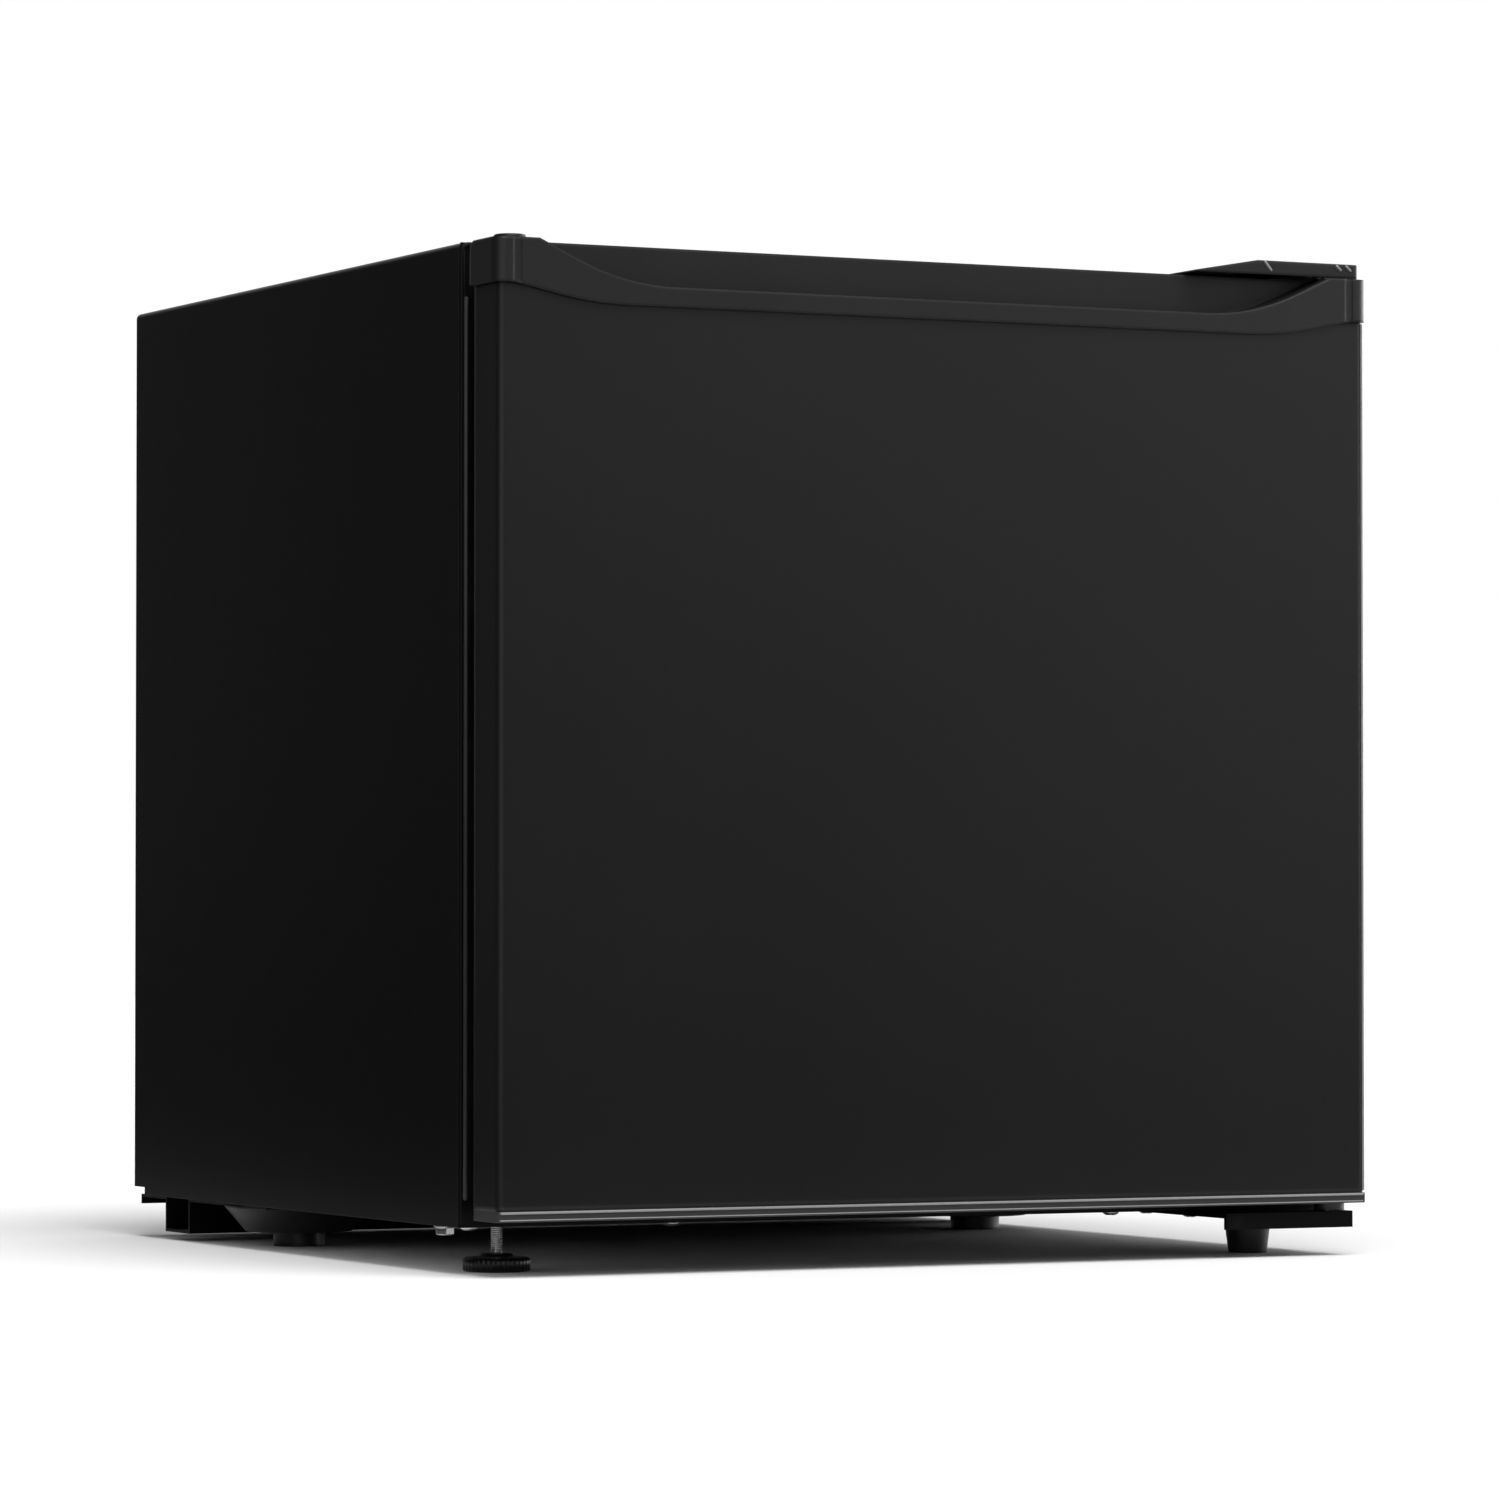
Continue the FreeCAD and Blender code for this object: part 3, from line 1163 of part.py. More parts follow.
# ---------------------------------------------------------------- shelf
def shelf():
    glass = box("shelf_glass", "shelf_side - room_half", "room_half - shelf_side",
                "shelf_y", "room_back - shelf_side", "shelf_low", "shelf_low + shelf_glass")
    keep(glass, "shelf_glass")
    trim = box("shelf_trim_bar", "shelf_side - room_half", "room_half - shelf_side",
               "shelf_y - shelf_trim", "shelf_y", "shelf_low", "shelf_low + shelf_trim_tall")
    front = number("shelf_y - shelf_trim")
    high = number("shelf_low + shelf_trim_tall")
    soft = soften("shelf_trim", trim, "trim_soft", lambda line: edge_along(line, 0)
                  and near(edge_middle(line).y, front) and near(edge_middle(line).z, high))
    keep(soft, "shelf_trim")


# ---------------------------------------------------------------- build, check and write
def build():
    outer_shell()
    front_rail()
    bottom_panel()
    back_panel()
    insulation()
    inner_liner()
    door_panel()
    door_foam()
    door_liner()
    door_gasket()
    door_top_cap()
    door_bottom_cap()
    bushing("upper_bushing", "cap_top - bush_length", "cap_top", "cap_drop - rim_gap")
    bushing("lower_bushing", "door_low", "floor_gap + rim_gap", "door_gap - rim_gap")
    hinge_hole_plug()
    door_rack("lower_rack", "dyke_bottom + rack_low")
    door_rack("upper_rack", "dyke_bottom + rack_low + rack_step")
    top_hinge_plate()
    hinge_pin("top_hinge_pin", "top - bush_length + pin_end",
              "bush_length - pin_end + plate", "top + plate")
    screws("top_hinge_screws", [(x, y, "top + plate") for x, y in TOP_SCREWS], "z", 1)
    hinge_cover()
    bottom_hinge_bracket()
    hinge_pin("bottom_hinge_pin", "bracket_low",
              "plate + door_gap + bush_length - pin_end", "bracket_low - rivet_height")
    spots = [(x, y, "bracket_low") for x, y in BOTTOM_SCREWS]
    spots += [(x, y, "floor_gap") for x, y in RAIL_SCREWS]
    spots += [(x, y, "base_low") for x, y in PLATE_SCREWS]
    screws("base_screws", spots, "z", -1)
    levelling_foot()
    front_right_foot()
    rear_foot("rear_foot_right", "dome_x")
    rear_foot("rear_foot_left", "-dome_x")
    base_plate()
    compressor()
    refrigerant_pipes()
    condenser_frame()
    cord_gland()
    cooling_box()
    cooling_box_frame()
    freezer_flap()
    drip_tray()
    tray_rail("tray_rail_left", "box_left", 1)
    tray_rail("tray_rail_right", "box_right", -1)
    control_housing()
    thermostat()
    shelf()


def check_and_write():
    """Refuse a failed object or an unsound piece, then write every piece to a file."""
    doc.recompute()
    for item in doc.Objects:
        if "Invalid" in item.State or "Error" in item.State:
            raise RuntimeError(f"{item.Label} failed: {item.State}")
    for item in nodes:
        if item.Shape.isNull() or not item.Shape.isValid():
            raise RuntimeError(f"{item.Label} has no sound shape")
    os.makedirs("parts", exist_ok=True)
    for item in nodes:
        item.Shape.exportStep(os.path.join("parts", item.Label + ".step"))
    print(len(nodes), "pieces written")


build()
check_and_write()
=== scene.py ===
import json
import math
import bmesh
import bpy
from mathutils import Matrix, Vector

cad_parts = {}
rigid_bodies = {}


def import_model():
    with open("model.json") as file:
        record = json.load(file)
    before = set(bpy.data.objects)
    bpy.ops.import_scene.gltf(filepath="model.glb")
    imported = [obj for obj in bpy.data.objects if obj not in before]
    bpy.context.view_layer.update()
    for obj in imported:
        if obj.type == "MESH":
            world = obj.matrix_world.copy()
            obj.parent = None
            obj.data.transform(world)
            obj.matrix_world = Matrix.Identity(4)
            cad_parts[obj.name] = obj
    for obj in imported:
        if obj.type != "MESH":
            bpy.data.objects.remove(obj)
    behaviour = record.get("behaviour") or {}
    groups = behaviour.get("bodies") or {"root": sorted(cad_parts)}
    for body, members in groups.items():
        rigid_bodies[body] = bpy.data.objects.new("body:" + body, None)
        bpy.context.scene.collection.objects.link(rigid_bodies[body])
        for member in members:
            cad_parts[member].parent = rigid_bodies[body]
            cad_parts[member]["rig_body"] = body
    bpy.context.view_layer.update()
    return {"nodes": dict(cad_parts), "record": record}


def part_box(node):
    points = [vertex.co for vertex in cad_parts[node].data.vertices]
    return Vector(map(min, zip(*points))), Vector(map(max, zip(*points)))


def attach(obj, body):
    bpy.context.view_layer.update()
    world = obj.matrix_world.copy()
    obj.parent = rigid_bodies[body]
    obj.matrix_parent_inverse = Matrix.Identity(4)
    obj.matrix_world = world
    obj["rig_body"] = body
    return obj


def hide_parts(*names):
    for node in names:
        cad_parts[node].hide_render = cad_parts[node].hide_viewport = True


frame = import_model()
NODES = frame["nodes"]
MM = 0.001
UP = Vector((0, 0, 1))
TURN = 2 * math.pi


# ---------------------------------------------------------------- camera and studio
def make_camera():
    """A long lens, low and to the left of the door."""
    camera = bpy.data.objects.new("camera", bpy.data.cameras.new("camera"))
    bpy.context.scene.collection.objects.link(camera)
    bpy.context.scene.camera = camera
    yaw, pitch = 0.4678, 0.0247
    level = math.cos(pitch)
    forward = Vector((math.sin(yaw) * level, math.cos(yaw) * level, math.sin(pitch)))
    camera.location = (-1.4792, -2.9543, 0.1693)
    camera.rotation_mode = "QUATERNION"
    camera.rotation_quaternion = forward.to_track_quat("-Z", "Y")
    camera.data.lens = 156.2
    camera.data.clip_start = 0.05
    camera.data.clip_end = 60


class Shade:
    """A node's output; arithmetic on it adds Math nodes."""

    def __init__(self, nodes, socket):
        self.nodes = nodes
        self.socket = socket

    def work(self, operation, first, second):
        return self.nodes.add("ShaderNodeMath", {"operation": operation}, {0: first, 1: second})

    def __add__(self, other):
        return self.work("ADD", self, other)

    def __radd__(self, other):
        return self.work("ADD", other, self)

    def __mul__(self, other):
        return self.work("MULTIPLY", self, other)

    def __rmul__(self, other):
        return self.work("MULTIPLY", other, self)


class Nodes:
    """A node tree with one way to add a node."""

    def __init__(self, tree):
        self.tree = tree
        tree.nodes.clear()

    def add(self, kind, settings=None, sockets=None, output=0):
        node = self.tree.nodes.new(kind)
        for name, value in (settings or {}).items():
            if name == "stops":
                self.set_stops(node.color_ramp, value)
            else:
                setattr(node, name, value)
        for name, value in (sockets or {}).items():
            if isinstance(value, Shade):
                self.tree.links.new(value.socket, node.inputs[name])
            else:
                node.inputs[name].default_value = value
        return Shade(self, node.outputs[output]) if len(node.outputs) else node

    def set_stops(self, ramp, stops):
        while len(ramp.elements) < len(stops):
            ramp.elements.new(0.5)
        for element, (place, level) in zip(ramp.elements, stops):
            element.position = place
            element.color = (level, level, level, 1)

    def blend(self, factor, first, second):
        """A colour between two colours."""
        return self.add("ShaderNodeMix", {"data_type": "RGBA"},
                        {0: factor, 6: rgba(first), 7: rgba(second)}, 2)

    def place(self, stretch=(1, 1, 1)):
        """Where a point lies on the object, in metres, stretched for grain."""
        spot = self.add("ShaderNodeTexCoord", output="Object")
        return self.add("ShaderNodeVectorMath", {"operation": "MULTIPLY"}, {0: spot, 1: stretch})

    def noise(self, size, detail=2, stretch=(1, 1, 1)):
        """Soft spots of about this size in metres, from 0 to 1."""
        return self.add("ShaderNodeTexNoise", None, {"Vector": self.place(stretch), "Scale": 1 / size,
                                                     "Detail": detail})

    def cells(self, size, output="Distance"):
        """Cells of about this size in metres."""
        return self.add("ShaderNodeTexVoronoi", None, {"Vector": self.place(), "Scale": 1 / size}, output)

    def ramp(self, value, stops):
        """Grey levels at places along a value from 0 to 1."""
        return self.add("ShaderNodeValToRGB", {"stops": stops}, {0: value})


def rgba(colour):
    return colour if isinstance(colour, Shade) else (*colour, 1)


def grey(level, warm=0.0):
    """A neutral colour, or one that leans a little to red."""
    return level * (1 + warm), level, level * (1 - warm)


def make_world():
    """White for the eye and in reflections, and an even light a little below white."""
    world = bpy.data.worlds.new("studio")
    bpy.context.scene.world = world
    world.use_nodes = True
    nodes = Nodes(world.node_tree)
    seen = nodes.add("ShaderNodeLightPath", output="Is Camera Ray")
    for name in ("Is Glossy Ray", "Is Transmission Ray"):
        seen = seen.work("MAXIMUM", seen, nodes.add("ShaderNodeLightPath", output=name))
    ambient = 0.48
    back = nodes.add("ShaderNodeBackground", None,
                     {"Color": (1, 1, 1, 1), "Strength": ambient + (1 - ambient) * seen})
    nodes.add("ShaderNodeOutputWorld", None, {"Surface": back})


def stage_plane(name, centre, across, up, material):
    """A flat stage piece that spans across and up from its centre."""
    corners = [centre + across * a + up * b for a, b in ((-1, -1), (1, -1), (1, 1), (-1, 1))]
    mesh = bpy.data.meshes.new(name)
    mesh.from_pydata(corners, [], [(0, 1, 2, 3)])
    mesh.uv_layers.new(name="UVMap")
    for loop, uv in zip(mesh.uv_layers[0].data, ((0, 0), (1, 0), (1, 1), (0, 1))):
        loop.uv = uv
    mesh.materials.append(material)
    plane = bpy.data.objects.new(name, mesh)
    bpy.context.scene.collection.objects.link(plane)
    return plane


def stage_paint(name, level):
    """A plain matt material for the stage."""
    material = bpy.data.materials.new(name)
    material.use_nodes = True
    nodes = Nodes(material.node_tree)
    matt = nodes.add("ShaderNodeBsdfDiffuse", None, {"Color": rgba(grey(level))})
    nodes.add("ShaderNodeOutputMaterial", None, {"Surface": matt})
    return material


def make_floor():
    """A wide white floor that takes the soft shadow."""
    reach = 9
    stage_plane("floor", Vector(), Vector((reach, 0, 0)), Vector((0, reach, 0)),
                stage_paint("floor_white", 1))


def make_flag():
    """A low black flag under the rear edge keeps light from running in under the cabinet."""
    centre, half_span, half_height = Vector((0, 0.224, 0.012)), 0.230, 0.012
    flag = stage_plane("rear_flag", centre, Vector((half_span, 0, 0)), Vector((0, 0, half_height)),
                       stage_paint("rear_flag", 0))
    flag.visible_camera = False
    flag.visible_glossy = False


def make_card(name, centre, across, up, dark, light):
    """A graded studio card that shows only in reflections; it lightens to its upper far corner."""
    material = bpy.data.materials.new(name)
    material.use_nodes = True
    nodes = Nodes(material.node_tree)
    spot = nodes.add("ShaderNodeTexCoord", output="UV")
    side = nodes.add("ShaderNodeSeparateXYZ", None, {0: spot}, "X")
    high = nodes.add("ShaderNodeSeparateXYZ", None, {0: spot}, "Y")
    glow = nodes.add("ShaderNodeEmission", None,
                     {"Strength": dark + (light - dark) * (side * 0.5 + high * 0.5)})
    nodes.add("ShaderNodeOutputMaterial", None, {"Surface": glow})
    card = stage_plane(name, Vector(centre), Vector(across), Vector(up), material)
    card.visible_camera = False
    card.visible_diffuse = False
    card.visible_shadow = False
    card.visible_transmission = False
    card.visible_volume_scatter = False


def make_cards():
    """Dark cards and mats stand off the left side and the door, so that black paint reads black;
    a light one far to the right draws the door's right edge."""
    make_card("side_card", (-0.85, 1.9, 1.2), (0, 2.5, 0), (0, 0, 1.2), 0.01, 0.05)
    make_card("side_mat", (-1.5, 1.6, 0.001), (0, 2.6, 0), (1.2, 0, 0), 0.01, 0.02)
    make_card("door_card", (0.45, -1.25, 0.55), (0.75, 0.25, 0), (0, 0, 0.55), -0.3, 1.4)
    make_card("edge_light", (2.2, 0.2, 0.7), (0, 1.1, 0), (0, 0, 0.7), 5.0, 5.0)
    make_card("door_mat", (0.3, -1.33, 0.001), (1.2, 0, 0), (0, 0.97, 0), 0.01, 0.03)


def make_lamp():
    """One broad soft lamp, high in front of the door."""
    lamp = bpy.data.objects.new("key_lamp", bpy.data.lights.new("key_lamp", "SUN"))
    bpy.context.scene.collection.objects.link(lamp)
    lamp.data.energy = 2.35
    lamp.data.angle = math.radians(38)
    lamp.rotation_mode = "QUATERNION"
    lamp.rotation_quaternion = Vector((-0.03, 0.66, -1.3)).to_track_quat("-Z", "Y")


# ---------------------------------------------------------------- finishes
class Finish(Nodes):
    """A material made of one Principled surface."""

    def __init__(self, name):
        self.material = bpy.data.materials.new(name)
        self.material.use_nodes = True
        super().__init__(self.material.node_tree)

    def surface(self, colour, roughness, height=None, relief=0.0001, edge=0.0005, **values):
        """values are plain numbers for other sockets, such as Metallic."""
        normal = self.add("ShaderNodeBevel", {"samples": 4}, {"Radius": edge})
        if height is not None:
            normal = self.add("ShaderNodeBump", None, {"Height": height, "Distance": relief,
                                                       "Strength": 1.0, "Normal": normal})
        sockets = {"Base Color": rgba(colour), "Roughness": roughness, "Normal": normal}
        sockets.update({name.replace("_", " "): value for name, value in values.items()})
        shader = self.add("ShaderNodeBsdfPrincipled", None, sockets)
        self.add("ShaderNodeOutputMaterial", None, {"Surface": shader})
        return self.material


def cabinet_paint():
    """Black paint baked on sheet steel, with the faint peel of a sprayed coat."""
    nodes = Finish("cabinet_paint")
    cloud = nodes.noise(0.16, 3)
    peel = nodes.noise(0.0022, 2)
    return nodes.surface(nodes.blend(cloud, grey(0.0024), grey(0.0038)),
                         0.34 + 0.07 * cloud + 0.04 * nodes.noise(0.012, 2), peel, 0.00003,
                         **{"Specular IOR Level": 0.09})


def door_paint():
    """Satin paint on the door's steel face, a little lighter than the cabinet's."""
    nodes = Finish("door_paint")
    cloud = nodes.noise(0.22, 3)
    peel = nodes.noise(0.0018, 2)
    return nodes.surface(nodes.blend(cloud, grey(0.0062), grey(0.0078)),
                         0.26 + 0.06 * cloud + 0.04 * nodes.noise(0.01, 2), peel, 0.000025,
                         edge=0.003, **{"Specular IOR Level": 0.32})


def black_moulding():
    """Moulded black plastic with a fine spark-eroded grain."""
    nodes = Finish("black_moulding")
    grain = nodes.cells(0.0007)
    cloud = nodes.noise(0.05, 3)
    return nodes.surface(nodes.blend(cloud, grey(0.0085), grey(0.0110)), 0.34 + 0.10 * cloud,
                         grain, 0.00003, edge=0.002, **{"Specular IOR Level": 0.31})


def bright_zinc():
    """Zinc plate on screws and pins: bright, with a faint blue and yellow cast."""
    nodes = Finish("bright_zinc")
    cast = nodes.noise(0.006, 3)
    return nodes.surface(nodes.blend(cast, (0.66, 0.67, 0.69), (0.70, 0.69, 0.65)),
                         0.12 + 0.14 * cast, nodes.noise(0.0006, 2), 0.00002, Metallic=1.0)


def galvanised_sheet():
    """Zinc crystals on bare sheet steel."""
    nodes = Finish("galvanised_sheet")
    crystal = nodes.cells(0.011, output="Color")
    tone = nodes.add("ShaderNodeSeparateColor", None, {0: crystal})
    return nodes.surface(nodes.blend(tone, grey(0.34), grey(0.52)), 0.30 + 0.18 * tone,
                         tone, 0.00003, Metallic=0.9)


def black_plate():
    """Black passivated steel, thinner and browner where it was bent and handled."""
    nodes = Finish("black_plate")
    wear = nodes.ramp(nodes.noise(0.02, 5), [(0.55, 0), (0.75, 1)])
    return nodes.surface(nodes.blend(wear, grey(0.002), grey(0.006, 0.12)), 0.46 + 0.16 * wear,
                         nodes.noise(0.0015, 3), 0.00003, **{"Specular IOR Level": 0.06})


def black_enamel():
    """Thick glossy enamel on the compressor and the condenser."""
    nodes = Finish("black_enamel")
    cloud = nodes.noise(0.03, 3)
    return nodes.surface(nodes.blend(cloud, grey(0.007), grey(0.013)), 0.22 + 0.12 * cloud,
                         nodes.noise(0.004, 2), 0.00008)


def insulation_foam():
    """Rigid yellow foam with small closed cells."""
    nodes = Finish("insulation_foam")
    cell = nodes.cells(0.0016)
    return nodes.surface(nodes.blend(cell, (0.80, 0.70, 0.44), (0.90, 0.83, 0.62)),
                         0.75 + 0.2 * cell, cell, 0.0004)


def white_liner():
    """Vacuum-formed white sheet, glossy and very slightly uneven."""
    nodes = Finish("white_liner")
    cloud = nodes.noise(0.09, 3)
    return nodes.surface(nodes.blend(cloud, (0.80, 0.81, 0.81), (0.85, 0.86, 0.86)),
                         0.24 + 0.10 * cloud, nodes.noise(0.007, 2), 0.00006)


def white_moulding():
    """Moulded white plastic with a soft grain."""
    nodes = Finish("white_moulding")
    cloud = nodes.noise(0.04, 3)
    return nodes.surface(nodes.blend(cloud, (0.77, 0.78, 0.77), (0.83, 0.83, 0.82)),
                         0.38 + 0.10 * cloud, nodes.cells(0.0008), 0.00002)


def soft_seal():
    """Dull dark vinyl of the magnetic door seal, dusty in its folds."""
    nodes = Finish("soft_seal")
    dust = nodes.noise(0.012, 4)
    return nodes.surface(nodes.blend(dust, grey(0.012), grey(0.020)), 0.52 + 0.18 * dust,
                         nodes.noise(0.001, 2), 0.00004)


def black_nylon():
    """Black nylon of the hinge bushes."""
    nodes = Finish("black_nylon")
    cloud = nodes.noise(0.008, 3)
    return nodes.surface(nodes.blend(cloud, grey(0.020), grey(0.030)),
                         0.40 + 0.15 * cloud, nodes.noise(0.0009, 2), 0.00002)


def mount_rubber():
    """Grey-black rubber of the compressor's mounts, bloomed in places."""
    nodes = Finish("mount_rubber")
    bloom = nodes.noise(0.007, 4)
    return nodes.surface(nodes.blend(bloom, grey(0.014), grey(0.04)), 0.66 + 0.2 * bloom,
                         nodes.noise(0.0008, 3), 0.00006)


def copper_pipe():
    """Drawn copper, browned in patches by brazing heat."""
    nodes = Finish("copper_pipe")
    heat = nodes.ramp(nodes.noise(0.02, 4), [(0.40, 0), (0.68, 1)])
    return nodes.surface(nodes.blend(heat, (0.78, 0.37, 0.22), (0.40, 0.17, 0.10)),
                         0.24 + 0.25 * heat, nodes.noise(0.0007, 2, (1, 1, 0.2)), 0.00003, Metallic=1.0)


def rolled_aluminium():
    """Rolled aluminium sheet with blown refrigerant channels; its grain runs front to back."""
    nodes = Finish("rolled_aluminium")
    grain = nodes.noise(0.0009, 3, (1, 0.04, 1))
    cloud = nodes.noise(0.04, 3)
    waves = nodes.add("ShaderNodeTexWave", None, {"Vector": nodes.place(), "Scale": 12.0}, 1)
    channel = nodes.ramp(waves, [(0.62, 0), (0.80, 1)])
    return nodes.surface(nodes.blend(cloud, grey(0.62), grey(0.76)), 0.30 + 0.2 * grain,
                         channel + 0.03 * grain, 0.0012, Metallic=1.0)


def frosted_plastic():
    """Ice-blue frosted plastic of the freezer flap."""
    nodes = Finish("frosted_plastic")
    frost = nodes.noise(0.002, 4)
    return nodes.surface(nodes.blend(frost, (0.74, 0.82, 0.86), (0.84, 0.89, 0.91)),
                         0.42 + 0.15 * frost, frost, 0.00008, **{"Transmission Weight": 0.45})


def clear_plastic():
    """Clear moulded plastic of the door racks."""
    nodes = Finish("clear_plastic")
    cloud = nodes.noise(0.03, 3)
    return nodes.surface(nodes.blend(cloud, (0.90, 0.94, 0.95), (0.96, 0.98, 0.98)),
                         0.05 + 0.06 * cloud, nodes.noise(0.02, 2), 0.0002,
                         **{"Transmission Weight": 0.92, "IOR": 1.49})


def shelf_glass():
    """Toughened float glass, faintly green."""
    nodes = Finish("shelf_glass")
    cloud = nodes.noise(0.08, 2)
    return nodes.surface(nodes.blend(cloud, (0.86, 0.95, 0.92), (0.90, 0.97, 0.95)),
                         0.01 + 0.02 * cloud, nodes.noise(0.05, 2), 0.00005,
                         **{"Transmission Weight": 1.0, "IOR": 1.52})


def dark_strip():
    """Dark grey plastic of the strip under the door."""
    nodes = Finish("dark_strip")
    cloud = nodes.noise(0.03, 3)
    return nodes.surface(nodes.blend(cloud, grey(0.024), grey(0.032)), 0.34 + 0.10 * cloud,
                         nodes.noise(0.001, 2), 0.00001, **{"Specular IOR Level": 0.3})


def bright_line():
    """Light grey beads along the strip, the door's edge and the hinge hood: painted highlight lines."""
    nodes = Finish("bright_line")
    grain = nodes.noise(0.004, 2, (0.05, 1, 1))
    # light grey colour in place of a highlight: painted highlight
    return nodes.surface(nodes.blend(grain, grey(0.24), grey(0.30)), 0.28 + 0.08 * grain,
                         grain, 0.00001, edge=0.0001, Metallic=0.3)


def hard_pad():
    """Hard black plastic of the levelling foot's pad, polished on its rim."""
    nodes = Finish("hard_pad")
    cloud = nodes.noise(0.008, 3)
    return nodes.surface(nodes.blend(cloud, grey(0.003), grey(0.006)), 0.22 + 0.12 * cloud,
                         nodes.noise(0.0008, 2), 0.00002, edge=0.0004, **{"Specular IOR Level": 0.3})


def dial_ink():
    """Grey print of the numbers on the dial."""
    nodes = Finish("dial_ink")
    wear = nodes.noise(0.001, 3)
    return nodes.surface(nodes.blend(wear, grey(0.05), grey(0.09)), 0.5 + 0.1 * wear,
                         wear, 0.00001, edge=0.00005)


FINISHES = {
    "black_painted_steel": cabinet_paint(), "door_painted_steel": door_paint(),
    "black_plastic": black_moulding(), "zinc_steel": bright_zinc(),
    "galvanised_steel": galvanised_sheet(), "black_steel": black_plate(),
    "black_enamel": black_enamel(), "insulation_foam": insulation_foam(),
    "white_liner": white_liner(), "white_plastic": white_moulding(), "door_seal": soft_seal(),
    "nylon": black_nylon(), "mount_rubber": mount_rubber(), "copper_pipe": copper_pipe(),
    "aluminium_sheet": rolled_aluminium(), "frosted_plastic": frosted_plastic(),
    "clear_plastic": clear_plastic(), "shelf_glass": shelf_glass(),
}
# painted highlight finish for the light grey beads and ribs
PAINTED_HIGHLIGHT_LINE = bright_line()


def paint_nodes():
    """Each node of the frame takes the finish of its slot."""
    for part in frame["record"]["subparts"]:
        for slot in NODES[part["node"]].material_slots:
            slot.material = FINISHES[part["material_slot"]]


# ---------------------------------------------------------------- mesh tools
def add_piece(name, points, faces, body, slot, *stands_for, sharp=35, finish=None):
    """A mesh piece on a body; it may stand for nodes of the frame."""
    mesh = bpy.data.meshes.new(name)
    mesh.from_pydata(points, [], faces)
    shape = bmesh.new()
    shape.from_mesh(mesh)
    bmesh.ops.remove_doubles(shape, verts=shape.verts, dist=1e-7)
    bmesh.ops.recalc_face_normals(shape, faces=shape.faces)
    shape.to_mesh(mesh)
    shape.free()
    mesh.shade_smooth()
    mesh.set_sharp_from_angle(angle=math.radians(sharp))
    mesh.materials.append(finish or FINISHES[slot])
    piece = bpy.data.objects.new(name, mesh)
    bpy.context.scene.collection.objects.link(piece)
    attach(piece, body)
    if stands_for:
        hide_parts(*stands_for)
    return piece


def skin(rows, wrap=False):
    """Points and faces of a tube through closed rows of points."""
    count = len(rows[0])
    points = [point for row in rows for point in row]
    faces = []
    for low in range(len(rows) if wrap else len(rows) - 1):
        high = (low + 1) % len(rows)
        for here in range(count):
            there = (here + 1) % count
            faces.append((low * count + here, low * count + there,
                          high * count + there, high * count + here))
    if not wrap:
        faces.append(tuple(range(count)))
        faces.append(tuple(range(len(points) - count, len(points))))
    return points, faces


def merge(shapes):
    """Several shapes as one list of points and faces."""
    points, faces = [], []
    for new_points, new_faces in shapes:
        start = len(points)
        points += new_points
        faces += [tuple(start + corner for corner in face) for face in new_faces]
    return points, faces


def ring(centre, axis, height, radius, count=48):
    """A row of points round an axis; radius may depend on the angle."""
    first = axis.orthogonal().normalized()
    second = axis.cross(first)
    row = []
    for step in range(count):
        angle = TURN * step / count
        reach = radius(angle) if callable(radius) else radius
        row.append(centre + axis * height + first * reach * math.cos(angle)
                   + second * reach * math.sin(angle))
    return row


def separate_solids(node):
    """The points of each separate solid of a node."""
    shape = bmesh.new()
    shape.from_mesh(NODES[node].data)
    bmesh.ops.remove_doubles(shape, verts=shape.verts, dist=1e-6)
    left = set(shape.verts)
    solids = []
    while left:
        found, edge = set(), [left.pop()]
        while edge:
            vertex = edge.pop()
            found.add(vertex)
            for line in vertex.link_edges:
                other = line.other_vert(vertex)
                if other in left:
                    left.discard(other)
                    edge.append(other)
        solids.append([vertex.co.copy() for vertex in found])
    shape.free()
    return solids


def bead(start, end, radius):
    """A thin round bead between two points."""
    way = (end - start).normalized()
    return skin([ring(spot, way, 0, radius * share, 16) for spot, share in
                 ((start, 0.5), (start + way * radius * 0.5, 1), (end - way * radius * 0.5, 1), (end, 0.5))])


def hexagon(to_flat):
    """How far a hexagon's edge reaches at each angle."""
    def reach(angle):
        turn = (angle + math.pi / 6) % (math.pi / 3) - math.pi / 6
        return to_flat / math.cos(turn)

    return reach


# ---------------------------------------------------------------- screws
def screw_frame(points):
    """A screw's head centre, outward axis, head radius, shank radius, head height and length."""
    low = Vector(min(point[i] for point in points) for i in range(3))
    high = Vector(max(point[i] for point in points) for i in range(3))
    size = high - low
    odd = max(range(3), key=lambda i: abs(2 * size[i] - size[(i + 1) % 3] - size[(i + 2) % 3]))
    axis = Vector((0, 0, 0))
    axis[odd] = 1
    middle = (low + high) / 2
    radius = size[(odd + 1) % 3] / 2
    near_rim = radius * 0.97
    rim = [point[odd] for point in points if (point - middle).cross(axis).length > near_rim]
    if sum(rim) / len(rim) < middle[odd]:
        axis = -axis
    seat = min((point - middle).dot(axis) for point in points
               if (point - middle).cross(axis).length > near_rim)
    shank = [(point - middle).cross(axis).length for point in points
             if (point - middle).dot(axis) < seat - 1e-4]
    top = size[odd] / 2
    return middle, axis, radius, max(shank), seat, top


def cross_depth(across, along, width, reach):
    """How deep a cross recess is at a point of a screw's head, from 0 to 1."""
    arm = min(abs(across), abs(along)) / width
    end = max(abs(across), abs(along)) / reach
    return max(0.0, min(1.0, 2.2 * (1 - arm))) * max(0.0, min(1.0, 3 * (1 - end)))


